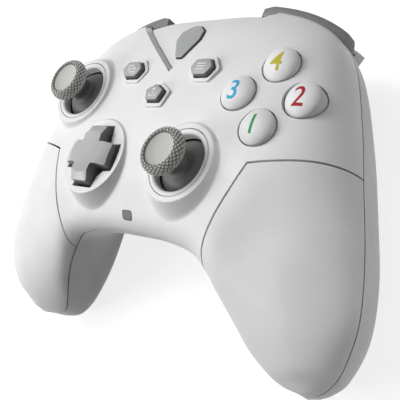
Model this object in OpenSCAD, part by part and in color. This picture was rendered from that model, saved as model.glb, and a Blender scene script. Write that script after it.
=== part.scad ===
// Wireless gamepad controller, lying face up.
// X runs to the right, Y towards the bumpers and Z out of the face. Shapes are drawn from the
// highest point of the face, and the whole part is then lifted so that the grips stand on z = 0.

/* [Body] */
// Width across the grips
body_w = 148.6; // [146:0.2:156]
// Height from the top edge to the grip tips
body_h = 107.2; // [104:0.2:114]
// Depth from the face to the back of the grips
body_d = 51; // [49:0.5:55]
// Wall of the shells
wall = 2.2; // [1.8:0.1:2.6]
// Seam between two shells
seam_gap = 0.2; // [0.1:0.05:0.4]
// Depth of the V panel below the face
v_recess = 1.8; // [1.4:0.1:2.2]
// Height of the V panel's lower corner above the face centre
v_corner_y = 17.3; // [15:0.1:19]
// Angle of the V panel's sides
v_angle = 41; // [38:0.2:46]

/* [Sticks] */
// Left stick from the centre line
left_stick_x = 37.6; // [36:0.1:39]
// Left stick above the face centre
left_stick_y = 9.2; // [7:0.1:11]
// Right stick from the centre line
right_stick_x = 19.1; // [18:0.1:21]
// Right stick below the face centre
right_stick_y = 14.3; // [13:0.1:15]
// Hole of the ring insert
stick_hole_d = 17.8; // [17:0.1:19]
// Outside of the ring insert
ring_d = 21.3; // [20.6:0.1:22]
// Thickness of the ring insert
ring_t = 3; // [2:0.1:3.4]
// Outside of the collar at its top
collar_d = 24.6; // [24:0.1:26]
// Height of the collars' top
collar_z = 0.4; // [0:0.1:0.6]
// Diameter of the thumb cap
cap_d = 14.5; // [13:0.1:15.5]
// Height of the cap's top
cap_z = 9.2; // [8.6:0.1:10]
// Depth of the pivot below the face
pivot_depth = 10; // [9.8:0.1:10.2]

/* [Buttons] */
// Face button cluster from the centre line
cluster_x = 40.4; // [39:0.1:41]
// Face button cluster above the face centre
cluster_y = 8.6; // [8:0.1:10]
// Cluster centre to the middle of a button
cluster_r = 9.9; // [9.6:0.1:10.4]
// Diameter of a face button
button_d = 10.9; // [10.4:0.1:11.4]
// Height of a face button above the face
button_rise = 2.6; // [2:0.1:3.2]
// Gap round a button
button_gap = 0.35; // [0.25:0.05:0.5]
// Travel of a face button
button_travel = 1; // [0.6:0.1:1.2]
// Travel of a small button
menu_travel = 0.6; // [0.4:0.1:0.8]
// View and menu buttons from the centre line
menu_x = 15.1; // [14:0.1:16]
// View and menu buttons above the face centre
menu_y = 16.2; // [15:0.1:17]
// Length of the view and menu buttons
menu_l = 9; // [8:0.1:9.6]
// Height of the view and menu buttons
menu_h = 5.6; // [5:0.1:6.2]
// Share button above the face centre
share_y = 7.4; // [6:0.1:8.4]
// Length of the share button
share_l = 8.6; // [7.6:0.1:9]
// Height of the share button
share_h = 6.6; // [6:0.1:7]
// Home button's middle above the face centre
home_y = 28.5; // [27.6:0.1:30]
// Width of the home button
home_w = 11.4; // [10:0.1:12]
// Height of the home button
home_h = 13; // [12:0.1:13.6]
// Side of the status light
light_w = 3.1; // [2.6:0.1:3.4]
// Status light below the face centre
light_y = 30.3; // [29:0.1:30.6]

/* [Directional pad] */
// Pad from the centre line
dpad_x = 17.7; // [17:0.1:19]
// Pad below the face centre
dpad_y = 14.7; // [13:0.1:15]
// Length of the cross at its top
dpad_l = 17; // [16.4:0.1:17.6]
// Width of an arm at its top
dpad_arm = 6; // [5.6:0.1:6.6]
// Top of the cross
dpad_z = 4.1; // [3.6:0.1:4.6]
// Outside of the pad's collar at its top
dpad_collar_d = 25.8; // [25.4:0.1:27]
// Height of the pad's collar
dpad_collar_z = 0.8; // [0.4:0.1:1.2]
// Hollow inside the pad's collar
dpad_bowl_d = 23.2; // [23:0.1:24]

/* [Shoulder] */
// Top of the bumpers below the face
bumper_top = 9.4; // [9:0.1:9.8]
// Height of the bumpers at their inner end
bumper_h = 12.2; // [11.8:0.1:12.6]
// How far the bumpers stand proud
bumper_proud = 3; // [2.4:0.1:3.2]
// Width of a trigger round its arc
trigger_angle = 40; // [38:1:42]
// Diameter of the trigger pins
pin_d = 2.9; // [2.4:0.1:3.2]
// Running clearance of pins in their bores
pin_play = 0.05; // [0.03:0.01:0.08]

/* [Inside] */
// Top of the main board below the face
board_depth = 16; // [15.8:0.1:16.4]
// Thickness of the main board
board_t = 1.6; // [1.2:0.1:2]
// Length of the battery
battery_l = 46; // [40:0.5:48]
// Width of the battery
battery_w = 30; // [26:0.5:31]
// Thickness of the battery
battery_t = 8; // [6:0.5:9]
// Diameter of the rumble motors
motor_d = 15; // [12:0.5:15.5]
// Length of the rumble motors
motor_l = 19; // [16:0.5:20]
// Diameter that the eccentric weights sweep
weight_d = 16.5; // [14:0.5:16.5]
// Diameter of the screw shanks
screw_d = 2.4; // [2:0.1:2.6]

/* [Hidden] */
$fn = 64;
eps = 0.01;

// Body form. Each station is a vertical cut across the horseshoe that runs from one grip tip over
// the middle to the other: outer edge x, y, z, inner edge x, y, z, height of the front crown, height
// of the back crown, then how square the cut is at front outer, front inner, back outer, back inner.
style_size = [148.6, 107.2, 51];
stretch = [body_w / style_size.x, body_h / style_size.y, body_d / style_size.z];
stations = [
    [0, 43.5, -15, 0, -34, -12, 0.3, -32, 3.2, 2.1, 2.6, 2.2],
    [22, 43, -15.5, 11, -34.2, -12, -0.1, -32, 3.2, 2.1, 2.6, 2.2],
    [41.5, 38, -17, 19, -35.2, -12.5, -0.9, -34, 3.2, 2.1, 2.5, 2.2],
    [52.5, 28.5, -18.5, 25.5, -37, -13.5, -2, -38, 3.1, 2.1, 2.4, 2.3],
    [60.3, 9.5, -20, 30.1, -40.7, -16.5, -3.7, -44, 2.8, 2.2, 2.3, 2.4],
    [67, -9.9, -19.8, 34, -45.6, -19.8, -7.8, -47.8, 2.1, 2.2, 2.2, 2.4],
    [72.5, -28, -20.8, 37.7, -50.7, -24.3, -12, -50.1, 1.6, 2.1, 2.1, 2.3],
    [74.1, -43.1, -24.2, 41.5, -56.5, -30.2, -17.8, -50.2, 1.6, 2, 2, 2.2],
    [70.3, -54.5, -30, 46.1, -60.7, -35.5, -24.4, -48.5, 1.9, 2, 2, 2.1],
    [65.9, -59.7, -33.8, 50.8, -62.6, -36.8, -30, -45, 2, 2, 2, 2],
    [62.4, -62.3, -35.2, 55.9, -63.1, -36.5, -32.6, -41, 2, 2, 2, 2]
];
grip_tip = [59, -63.7, -36.7];
last = len(stations) - 1;
cuts_per_station = 3;
around = 16;
around_inside = 8;
// Station from which the inner wall lags behind, so that the grip ends stay thick
lag_from = 6;
lag = 0.75;

function stretched(r) = [r[0] * stretch.x, r[1] * stretch.y, r[2] * stretch.z,
    r[3] * stretch.x, r[4] * stretch.y, r[5] * stretch.z, r[6] * stretch.z, r[7] * stretch.z,
    r[8], r[9], r[10], r[11]];
function mirrored(r) = [for (k = [0:11]) k % 3 == 0 && k < 6 ? -r[k] : r[k]];
function row(k) = k < 0 ? mirrored(stretched(stations[-k]))
    : k <= last ? stretched(stations[k]) : 2 * row(last) - row(last - 1);
function spline(a, b, c, d, t) = 0.5 * (2 * b + (c - a) * t + (2 * a - 5 * b + 4 * c - d) * t * t
    + (3 * b - a - 3 * c + d) * t * t * t);
function station(s) = let (a = abs(s), k = min(floor(a), last - 1),
    r = spline(row(k - 1), row(k), row(k + 1), row(k + 2), a - k)) s < 0 ? mirrored(r) : r;
function lagged(s) = let (a = abs(s)) sign(s) * (a < lag_from ? a : lag_from + (a - lag_from) * lag);

// One half of a cut, front or back, pulled in by off, from the outer edge to the inner edge
function section(s, off, n, front) = let (
    r = station(off > 0 ? lagged(s) : s),
    outer = [r[0], r[1], r[2]],
    inner = [r[3], r[4], r[5]],
    along = [outer.x - inner.x, outer.y - inner.y, 0],
    o = outer - off * along / norm(along),
    i = inner + off * along / norm(along),
    rise = (front ? r[6] - off : r[7] + off) - (o.z + i.z) / 2,
    drop = front ? 0 : -seam_gap)
    [for (j = [0:n]) let (
        c = cos(90 - 90 * cos(180 * j / n)),
        square = r[(front ? 8 : 10) + (c < 0 ? 1 : 0)],
        h = pow(max(0, 1 - pow(abs(c), square)), 1 / square))
        (o * (1 + c) + i * (1 - c)) / 2 + [0, 0, rise * h + drop * (1 - h)]];
function tip_point(side, off, front) = [side * (grip_tip.x * stretch.x - off * 0.3),
    grip_tip.y * stretch.y + off * 1.6, grip_tip.z * stretch.z - (front ? 0 : seam_gap)];

// Triangles between row a and row b of a grid with n steps, and the closing fan between two rows
function strip(a, b, n) = [for (j = [0:n - 1])
    each [[a + j, b + j + 1, a + j + 1], [a + j, b + j, b + j + 1]]];
function backward(t) = [for (f = t) [f[0], f[2], f[1]]];
function fan(p, a, n) = [for (j = [0:n - 1]) [p, a + j, a + j + 1]];
function end_wall(a, b, na, nb) = let (q = na / nb) concat(
    [for (j = [0:nb - 1], k = [0:q - 1]) [a + j * q + k, b + j, a + j * q + k + 1]],
    [for (j = [0:nb - 1]) [a + (j + 1) * q, b + j, b + j + 1]]);

// Moulded wall between two offsets of the body form, from cut sa to cut sb, front or back half
module skin(sa, sb, off_out, off_in, front) {
    m = round((sb - sa) * cuts_per_station);
    at = [for (k = [0:m]) sa + (sb - sa) * k / m];
    wo = around + 1;
    wi = around_inside + 1;
    in0 = (m + 1) * wo;
    tip0 = in0 + (m + 1) * wi;
    points = concat(
        [for (s = at) each section(s, off_out, around, front)],
        [for (s = at) each section(s, off_in, around_inside, front)],
        [for (side = [-1, 1], off = [off_out, off_in]) tip_point(side, off, front)]);
    sheets = concat(
        [for (k = [0:m - 1]) each strip(k * wo, (k + 1) * wo, around)],
        [for (k = [0:m - 1]) each backward(strip(in0 + k * wi, in0 + (k + 1) * wi, around_inside))],
        [for (k = [0:m - 1]) let (a = k * wo, b = in0 + k * wi)
            each [[a, b + wi, a + wo], [a, b, b + wi]]],
        [for (k = [0:m - 1]) let (a = k * wo + around, b = in0 + k * wi + around_inside)
            each [[a, b + wi, b], [a, a + wo, b + wi]]]);
    left_end = sa > -last ? backward(end_wall(0, in0, around, around_inside)) : concat(
        fan(tip0, 0, around), backward(fan(tip0 + 1, in0, around_inside)),
        [[tip0, in0, 0], [tip0, tip0 + 1, in0], [tip0, around, in0 + around_inside],
            [tip0, in0 + around_inside, tip0 + 1]]);
    end_o = m * wo;
    end_i = in0 + m * wi;
    right_end = sb < last ? end_wall(end_o, end_i, around, around_inside) : concat(
        backward(fan(tip0 + 2, end_o, around)), fan(tip0 + 3, end_i, around_inside),
        [[tip0 + 2, end_o, end_i], [tip0 + 2, end_i, tip0 + 3],
            [tip0 + 2, end_i + around_inside, end_o + around],
            [tip0 + 2, tip0 + 3, end_i + around_inside]]);
    faces = concat(sheets, left_end, right_end);
    polyhedron(points, front ? faces : backward(faces), convexity = 10);
}

// Closed form of the whole body, pulled in by off
module core(off) {
    m = 2 * last * cuts_per_station;
    w = around + around_inside;
    points = concat(
        [for (k = [0:m]) let (s = -last + k / cuts_per_station,
            f = section(s, off, around, true), b = section(s, off, around_inside, false))
            each concat(f, [for (j = [around_inside - 1:-1:1]) b[j]])],
        [tip_point(-1, off, true), tip_point(1, off, true)]);
    faces = concat(
        [for (k = [0:m - 1], j = [0:w - 1]) let (a = k * w + j, b = k * w + (j + 1) % w)
            each [[a, b + w, b], [a, a + w, b + w]]],
        [for (j = [0:w - 1]) [(m + 1) * w, j, (j + 1) % w]],
        [for (j = [0:w - 1]) [(m + 1) * w + 1, m * w + (j + 1) % w, m * w + j]]);
    polyhedron(points, faces, convexity = 10);
}

// Height of the face, or of the back, over a point
front_grid = [for (k = [-last * cuts_per_station:last * cuts_per_station])
    section(k / cuts_per_station, 0, around, true)];
back_grid = [for (k = [-last * cuts_per_station:last * cuts_per_station])
    section(k / cuts_per_station, 0, around, false)];
function corner_height(p, a, b, c) = let (
    d = (b.x - a.x) * (c.y - a.y) - (b.y - a.y) * (c.x - a.x),
    u = ((p.x - a.x) * (c.y - a.y) - (p.y - a.y) * (c.x - a.x)) / d,
    v = ((b.x - a.x) * (p.y - a.y) - (b.y - a.y) * (p.x - a.x)) / d)
    u >= -eps && v >= -eps && u + v <= 1 + eps ? a.z + u * (b.z - a.z) + v * (c.z - a.z) : undef;
function surface_z(grid, p) = [for (k = [0:len(grid) - 2], j = [0:around - 1]) let (
    a = grid[k][j], b = grid[k + 1][j], c = grid[k + 1][j + 1], d = grid[k][j + 1],
    first = corner_height(p, a, b, c),
    z = first == undef ? corner_height(p, a, c, d) : first) if (z != undef) z][0];
function face_z(p) = surface_z(front_grid, p);
function back_z(p) = surface_z(back_grid, p);

// Outer edge seen from above, and the direction that points out of it, for the right half
function edge(s) = let (r = station(s)) [r[0], r[1]];
function edge_out(s) = let (d = edge(s + 0.02) - edge(s - 0.02)) [-d.y, d.x] / norm(d);
function edge_at(s, n) = edge(s) + n * edge_out(s);

// Bar along the outer edge, with a profile given as steps out of the edge and heights. It gets
// lower towards its outer end, over a level foot.
module edge_bar(sa, sb, profile, steps, fall) {
    w = len(profile);
    points = [for (k = [0:steps], p = profile) let (s = sa + (sb - sa) * k / steps,
        t = max(0, s - bumper_from) / (bumper_to - bumper_from), q = edge_at(s, p.x))
        [q.x, q.y, bumper_z0 + (p.y - bumper_z0) * (1 - fall * min(1.2, t * t))]];
    faces = concat(
        [for (k = [0:steps - 1], j = [0:w - 1]) let (a = k * w + j, b = k * w + (j + 1) % w)
            each [[a, b, b + w], [a, b + w, a + w]]],
        [[for (j = [0:w - 1]) w - 1 - j], [for (j = [0:w - 1]) steps * w + j]]);
    polyhedron(points, faces, convexity = 6);
}

// Part frame: the lowest point of the grips stands on z = 0, and the box is centred on the origin
lift = -min([for (cut = back_grid, p = cut) p.z]);

// Places
board_top = -board_depth;
board_bottom = board_top - board_t;
pivot_z = -pivot_depth;
left_stick = [-left_stick_x, left_stick_y];
right_stick = [right_stick_x, -right_stick_y];
pad_place = [-dpad_x, -dpad_y];
cluster = [cluster_x, cluster_y];
south = cluster + [0, -cluster_r];
east = cluster + [cluster_r, 0];
west = cluster + [-cluster_r, 0];
north = cluster + [0, cluster_r];
button_hole_r = button_d / 2 + button_gap;
guide_bottom = -9;
flange_t = 1;
flange_gap = 0.3;
ear_out = 0.5;
ear_w = 4;
ear_room = 3;

// Seam of the right grip panel, from outside the body round the panel's inner side
panel_corner = [40.8, -11.4];
panel_seam = [[body_w, -6], [61, -6.9], [47, -9.8], panel_corner, [37.8, -19.5], [34.2, -28],
    [31, -36.3], [30, -44], [30, -body_h], [body_w, -body_h]];
panel_from = 3;
face_to = 5;

module panel_zone(gap) {
    translate([gap, -gap, -2 * body_d]) linear_extrude(4 * body_d) polygon(panel_seam);
}

module v_zone(gap) {
    far = body_h;
    translate([0, v_corner_y + gap / cos(v_angle), -body_d]) linear_extrude(2 * body_d)
        polygon([[0, 0], [far * cos(v_angle), far * sin(v_angle)],
            [-far * cos(v_angle), far * sin(v_angle)]]);
}

module at_sides() {
    children();
    mirror([1, 0, 0]) children();
}

// Screws: three through the middle of the body and the board, two in each grip
middle_screws = [[-27, 25], [27, 25], [0, -21.5]];
grip_screws = [[64, -26], [48, -47]];
post_r = 3;
rear_post_r = 4;
screw_head_r = 2.5;
screw_head_t = 1.8;
screw_play = 0.05;
grip_post_z = -24;
screw_seat = 5;
seat_r = screw_head_r + 0.4;
function seat_z(p) = back_z(p) + screw_seat;

// Collars and bezels that stand out of the face
collar_slope = 0.55;
collar_skirt_z = -8;
ledge_t = 1;
ledge_in = 0.85;
ring_play = 0.05;
module stick_collar() {
    top_r = collar_d / 2;
    base_r = top_r + (collar_z - collar_skirt_z) * collar_slope;
    translate([0, 0, collar_skirt_z]) cylinder(h = collar_z - collar_skirt_z, r1 = base_r, r2 = top_r);
}
module stick_bore() {
    ring_bottom = collar_z - ring_t;
    translate([0, 0, ring_bottom]) cylinder(h = ring_t + 1, r = ring_d / 2 + ring_play);
    translate([0, 0, ring_bottom - 20]) cylinder(h = 20 + eps, r = ring_d / 2 - ledge_in);
    translate([0, 0, ring_bottom - 20 - ledge_t]) cylinder(h = 20, r = ring_d / 2 + 0.9);
}
dish_deep = 1.2;
dish_t = 1.6;
dish_rim = dpad_collar_d / 2 - 0.5;
dish_r = (dish_rim * dish_rim + dish_deep * dish_deep) / (2 * dish_deep);
dish_z = dpad_collar_z - dish_deep;
dpad_gap = 0.6;
module dpad_collar() {
    top_r = dpad_collar_d / 2;
    base_r = top_r + (dpad_collar_z - collar_skirt_z) * collar_slope * 0.75;
    translate([0, 0, collar_skirt_z])
        cylinder(h = dpad_collar_z - collar_skirt_z, r1 = base_r, r2 = top_r);
}
dpad_draft = 0.6;
module cross(l, w, h) {
    translate([-l / 2, -w / 2, 0]) cube([l, w, h]);
    translate([-w / 2, -l / 2, 0]) cube([w, l, h]);
}
module drafted_cross(l, w, h) {
    foot = 2 * dpad_draft * [1, 1];
    for (size = [[l, w], [w, l]]) hull() {
        linear_extrude(eps) square(size + foot, center = true);
        translate([0, 0, h - eps]) linear_extrude(eps) square(size, center = true);
    }
}
module dpad_bore() {
    translate([0, 0, dish_z + dish_r]) sphere(r = dish_r, $fn = 96);
    wide = 2 * (dpad_draft + dpad_gap);
    translate([0, 0, -20]) cross(dpad_l + wide, dpad_arm + wide, 30);
    translate([0, 0, -20]) cylinder(h = 20 + dish_z - dish_t, r = dpad_bowl_d / 2);
}

// Six-sided outline, longer than high, with points to the left and right
function hexagon(l, h) = [[l / 2, 0], [l / 2 - h / 3, h / 2], [h / 3 - l / 2, h / 2],
    [-l / 2, 0], [h / 3 - l / 2, -h / 2], [l / 2 - h / 3, -h / 2]];
function pentagon(l, h) = [[l / 2, h / 8], [0.34 * l, -h / 2], [-0.34 * l, -h / 2], [-l / 2, h / 8],
    [0, h / 2]];
function small_outline(b, grow) = b[3] == 5 ? pentagon(b[1] + 2 * grow, b[2] + 2 * grow)
    : hexagon(b[1] + 2 * grow, b[2] + 2 * grow);
bezel_rise = 0.7;
bezel_w = 1.6;
bezel_deep = 3;
module small_prism(b, grow, z0, z1) {
    translate([0, 0, z0]) linear_extrude(z1 - z0) polygon(small_outline(b, grow));
}
// Place, length, height and number of sides
small_buttons = [[[-menu_x, menu_y], menu_l, menu_h, 6], [[menu_x, menu_y], menu_l, menu_h, 6],
    [[0, share_y], share_l, share_h, 5]];

// Home button: flat at the top, narrowing to a blunt lower end
function home_outline(grow) = let (w = home_w / 2 + grow, h = home_h / 2 + grow)
    [[w * 0.8, h], [w, h * 0.62], [w * 0.92, 0], [w * 0.3, -h], [-w * 0.3, -h],
        [-w * 0.92, 0], [-w, h * 0.62], [-w * 0.8, h]];

// Bumpers: a bar along the edge, hinged near its inner end on an upright pin
bumper_from = 0.95;
bumper_to = 2.63;
bumper_fall = 0.56;
slot_fall = 0.52;
bumper_back = 3;
bumper_room = 3.2;
bumper_inset = 7;
bumper_gap = 0.35;
bumper_z0 = -bumper_top - bumper_h;
bumper_z1 = -bumper_top;
bumper_pivot = edge_at(bumper_from + 0.12, -bumper_inset);
bumper_reach = norm(edge(bumper_to) - bumper_pivot);
bumper_pin_r = 1.3;
lug_r = 2.2;
lug_z0 = bumper_z0 + 1;
lug_z1 = bumper_z1 - 2.4;
bumper_profile = [[-bumper_back, bumper_z1], [0.2, bumper_z1], [bumper_proud * 0.8, bumper_z1 - 0.4],
    [bumper_proud, bumper_z1 - 1.8], [bumper_proud, bumper_z0 + 3], [bumper_proud * 0.7, bumper_z0 + 0.8],
    [0.4, bumper_z0], [-bumper_back, bumper_z0]];
module bumper_slot() {
    top = bumper_z1 + 2 * bumper_gap;
    box = [[-bumper_back - bumper_room, top], [body_w / 8, top],
        [body_w / 8, bumper_z0 - bumper_gap], [-bumper_back - bumper_room, bumper_z0 - bumper_gap]];
    intersection() {
        edge_bar(bumper_from - 0.02, bumper_to + 0.6, box, 12, slot_fall);
        translate([bumper_pivot.x, bumper_pivot.y, -body_d])
            cylinder(h = 2 * body_d, r = bumper_reach + bumper_gap);
    }
}

// Triggers: a profile turned about an upright axis that follows the shoulder's curve, hinged on a
// level pin across that axis
trigger_mid = 1.85;
trigger_arc_r = 35;
trigger_out = edge_out(trigger_mid);
trigger_heading = atan2(trigger_out.y, trigger_out.x);
trigger_axis = edge_at(trigger_mid, -trigger_arc_r);
trigger_gap = 0.5;
trigger_pivot_n = -8.4;
trigger_pivot_z = -25.2;
trigger_slot_n = -9.4;
hub_r = 2.5;
hub_room = 0.6;
trigger_profile = [[0.5, -22.8], [1.4, -24.4], [2, -27], [2.2, -29.6], [2.4, -32], [3, -34.4],
    [3.4, -35.8], [3.2, -36.6], [2.4, -36.8], [1.4, -35.8], [0.4, -33.8], [-0.2, -31.8], [-1, -30.4],
    [-2.4, -29.4], [-5, -28.6], [-8.4, -28.4], [-8.4, -22.8]];
// Slanted lower corner at the trigger's outer end
trigger_slant = 45;
trigger_slant_z = -31;
module at_trigger() {
    translate([trigger_axis.x, trigger_axis.y, 0]) rotate(trigger_heading) children();
}
module trigger_sector(angle, profile) {
    rotate(-angle / 2) rotate_extrude(angle = angle)
        polygon([for (p = profile) [trigger_arc_r + p.x, p.y]]);
}
module trigger_slot() {
    wide = trigger_angle + 2 * trigger_gap / trigger_arc_r * 180 / PI;
    at_trigger() trigger_sector(wide, [[trigger_slot_n, bumper_z0], [12, bumper_z0], [12, -body_d],
        [trigger_slot_n, -body_d]]);
}
module trigger_pin_place() {
    at_trigger() translate([trigger_arc_r + trigger_pivot_n, 0, trigger_pivot_z])
        rotate([90, 0, 0]) children();
}
hub_half = (trigger_arc_r + trigger_pivot_n) * tan(trigger_angle / 2) - 2.6;
cheek_gap = 0.4;
cheek_t = 1.6;
cheek_half = hub_half + cheek_gap;

// Inlet
usb_w = 9;
usb_h = 3.2;
usb_l = 7.5;
usb_z = -20;
usb_lip = 0.6;
usb_front = edge(0).y - 0.8;

// Back land: flat raised area in the middle of the back
land_size = [46, 34];
land_y = 2;
land_z = -35.5;
land_r = 7;
land_flare = 11;

module rounded(size, r, h) {
    linear_extrude(h) hull() for (x = [-1, 1], y = [-1, 1])
        translate([x * (size.x / 2 - r), y * (size.y / 2 - r)]) circle(r = r, $fn = 32);
}

// Shells

module front_shell() {
    color("white") difference() {
        union() {
            skin(-face_to, face_to, 0, wall, true);
            difference() {
                union() {
                    for (p = [left_stick, right_stick]) translate(p) stick_collar();
                    translate(pad_place) dpad_collar();
                    for (b = small_buttons) translate([b[0].x, b[0].y, face_z(b[0])])
                        small_prism(b, bezel_w, -bezel_deep, bezel_rise);
                }
                core(wall * 0.7);
            }
            intersection() {
                union() {
                    for (p = [south, east, west, north]) translate([p.x, p.y, guide_bottom])
                        cylinder(h = -guide_bottom, r = button_hole_r + 1.3);
                    for (p = middle_screws) translate([p.x, p.y, board_top])
                        cylinder(h = -board_top, r = post_r);
                }
                core(wall * 0.5);
            }
        }
        at_sides() panel_zone(0);
        v_zone(0);
        at_sides() bumper_slot();
        for (p = [left_stick, right_stick]) translate(p) stick_bore();
        translate(pad_place) dpad_bore();
        for (p = [south, east, west, north]) {
            translate([p.x, p.y, -body_d]) cylinder(h = 2 * body_d, r = button_hole_r);
            translate([p.x, p.y, guide_bottom - ear_room])
                cylinder(h = ear_room - eps, r = button_hole_r + ear_out + flange_gap);
        }
        for (b = small_buttons) translate(b[0])
            small_prism(b, button_gap, -body_d, body_d);
        for (p = middle_screws) translate([p.x, p.y, board_top - eps])
            cylinder(h = 6, r = screw_d / 2 + screw_play);
        translate([0, -light_y, 0]) cube([light_w + 0.3, light_w + 0.3, 40], center = true);
    }
}

module rear_shell() {
    color("gainsboro") difference() {
        union() {
            skin(-last, last, 0, wall, false);
            difference() {
                back_land();
                core(wall * 0.7);
            }
            intersection() {
                union() {
                    for (p = middle_screws) translate([p.x, p.y, -body_d])
                        cylinder(h = body_d + board_bottom, r = rear_post_r);
                    at_sides() for (p = grip_screws) translate([p.x, p.y, -body_d])
                        cylinder(h = body_d + grip_post_z, r = rear_post_r);
                    at_sides() motor_cradle();
                }
                core(wall * 0.5);
            }
        }
        at_sides() bumper_slot();
        at_sides() trigger_slot();
        at_sides() trigger_pin_place()
            cylinder(h = 2 * (cheek_half + cheek_t + hub_room), r = hub_r + hub_room, center = true);
        for (p = middle_screws) screw_bore(p);
        at_sides() for (p = grip_screws) screw_bore(p);
        translate([0, usb_front, usb_z]) rounded_slot(usb_w + 2 * usb_lip, usb_h + 2 * usb_lip, 12);
    }
}
module back_land() {
    translate([0, land_y, land_z]) hull() {
        rounded(land_size, land_r, eps);
        translate([0, 0, land_flare])
            rounded(land_size + 2 * land_flare * [1, 1], land_r + land_flare, eps);
    }
}
module screw_bore(p) {
    translate([p.x, p.y, -body_d]) cylinder(h = body_d, r = screw_d / 2 + screw_play);
    translate([p.x, p.y, seat_z(p) - body_d]) cylinder(h = body_d, r = seat_r);
}
// Upright slot with round ends, along Y from its middle
module rounded_slot(w, h, l) {
    for (x = [-1, 1]) translate([x * (w - h) / 2, 0, 0]) rotate([90, 0, 0])
        cylinder(h = 2 * l, r = h / 2, center = true);
    cube([w - h, 2 * l, h], center = true);
}

module right_grip_panel() {
    color("whitesmoke") difference() {
        union() {
            intersection() {
                skin(panel_from, last, 0, wall, true);
                panel_zone(seam_gap);
            }
            intersection() {
                for (p = grip_screws) translate([p.x, p.y, grip_post_z])
                    cylinder(h = -grip_post_z, r = post_r);
                core(wall * 0.5);
            }
        }
        for (p = grip_screws) translate([p.x, p.y, grip_post_z - eps])
            cylinder(h = 5, r = screw_d / 2 + screw_play);
    }
}
module left_grip_panel() { mirror([1, 0, 0]) right_grip_panel(); }

module top_panel() {
    color("white") difference() {
        intersection() {
            skin(-2, 2, v_recess, v_recess + wall, true);
            v_zone(seam_gap);
        }
        at_sides() bumper_slot();
        translate([0, home_y, -body_d]) linear_extrude(2 * body_d) polygon(home_outline(button_gap));
    }
}

module stick_ring() {
    hole_r = stick_hole_d / 2;
    color("white") translate([0, 0, collar_z - ring_t]) rotate_extrude()
        polygon([[hole_r, 0], [ring_d / 2, 0], [ring_d / 2, ring_t], [hole_r + 0.9, ring_t],
            [hole_r + 0.3, ring_t - 0.25], [hole_r, ring_t - 0.9]]);
}
module left_stick_ring() { translate(left_stick) stick_ring(); }
module right_stick_ring() { translate(right_stick) stick_ring(); }

// Buttons

module face_button(p) {
    top = face_z(p) + button_rise;
    r = button_d / 2;
    flange_z = guide_bottom - flange_gap - flange_t;
    crown = 1.5;
    dome_r = (r * r + crown * crown) / (2 * crown) * 1.12;
    color("white") translate([p.x, p.y, 0]) {
        intersection() {
            translate([0, 0, flange_z]) cylinder(h = top - flange_z, r = r);
            translate([0, 0, top - dome_r]) sphere(r = dome_r, $fn = 96);
            translate([0, 0, flange_z]) rotate_extrude()
                polygon([[0, 0], [r, 0], [r, top - flange_z - 1.9], [r - 0.3, top - flange_z - 1.2],
                    [r - 0.9, top - flange_z - 0.5], [r - 1.9, top - flange_z + 1], [0, top - flange_z + 1]]);
        }
        intersection() {
            translate([0, 0, flange_z]) cylinder(h = flange_t, r = button_hole_r + ear_out);
            rotate(atan2(p.y - cluster.y, p.x - cluster.x)) translate([-ear_w / 2, -button_d, flange_z])
                cube([ear_w, 2 * button_d, flange_t]);
        }
    }
}
module south_button() { face_button(south); }
module east_button() { face_button(east); }
module west_button() { face_button(west); }
module north_button() { face_button(north); }

small_rise = 1.9;
small_flange = 1;
small_bevel = 0.6;
module small_button(b) {
    top = face_z(b[0]) + bezel_rise + small_rise;
    seat = face_z(b[0]) - bezel_deep - small_flange - menu_travel;
    color("dimgray") translate([b[0].x, b[0].y, 0]) {
        small_prism(b, 0, seat, top - small_bevel);
        small_prism(b, -small_bevel, top - small_bevel - eps, top);
        small_prism(b, bezel_w, seat, seat + small_flange);
        translate([0, 0, board_top + 1.6]) cylinder(h = seat - board_top - 1.6 + eps, r = 1.4);
    }
}
module view_button() { small_button(small_buttons[0]); }
module menu_button() { small_button(small_buttons[1]); }
module share_button() { small_button(small_buttons[2]); }
home_rise = 0.6;
home_flange = 1;
home_clear = 0.8;
module home_button() {
    far = [home_w / 2, home_h / 2] + home_flange * [1, 1];
    flange_top = face_z([far.x, home_y + far.y]) - v_recess - wall - home_clear;
    seat = flange_top - small_flange;
    color("dimgray") {
        intersection() {
            translate([0, home_y, seat]) linear_extrude(-seat + home_rise) polygon(home_outline(0));
            skin(-1, 1, v_recess - home_rise, board_depth, true);
        }
        translate([0, home_y, seat]) linear_extrude(small_flange) polygon(home_outline(home_flange));
        translate([0, home_y, board_top + 1.6]) cylinder(h = seat - board_top - 1.6 + eps, r = 1.6);
    }
}
// Light pipe: a block under the face, with a thinner foot set back on the board
light_foot = 1.6;
light_foot_y = 1.4;
light_bottom = -11;
module status_light() {
    color("darkslategray") translate([0, -light_y, 0]) {
        intersection() {
            translate([-light_w / 2, -light_w / 2, light_bottom]) cube([light_w, light_w, -light_bottom]);
            translate([0, light_y, 0]) core(0);
        }
        translate([-light_foot / 2, light_foot_y - light_foot / 2, board_top])
            cube([light_foot, light_foot, light_bottom - board_top + eps]);
    }
}

// Directional pad: a cross on a ball, with a rocking base plate that presses four rubber domes

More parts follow.
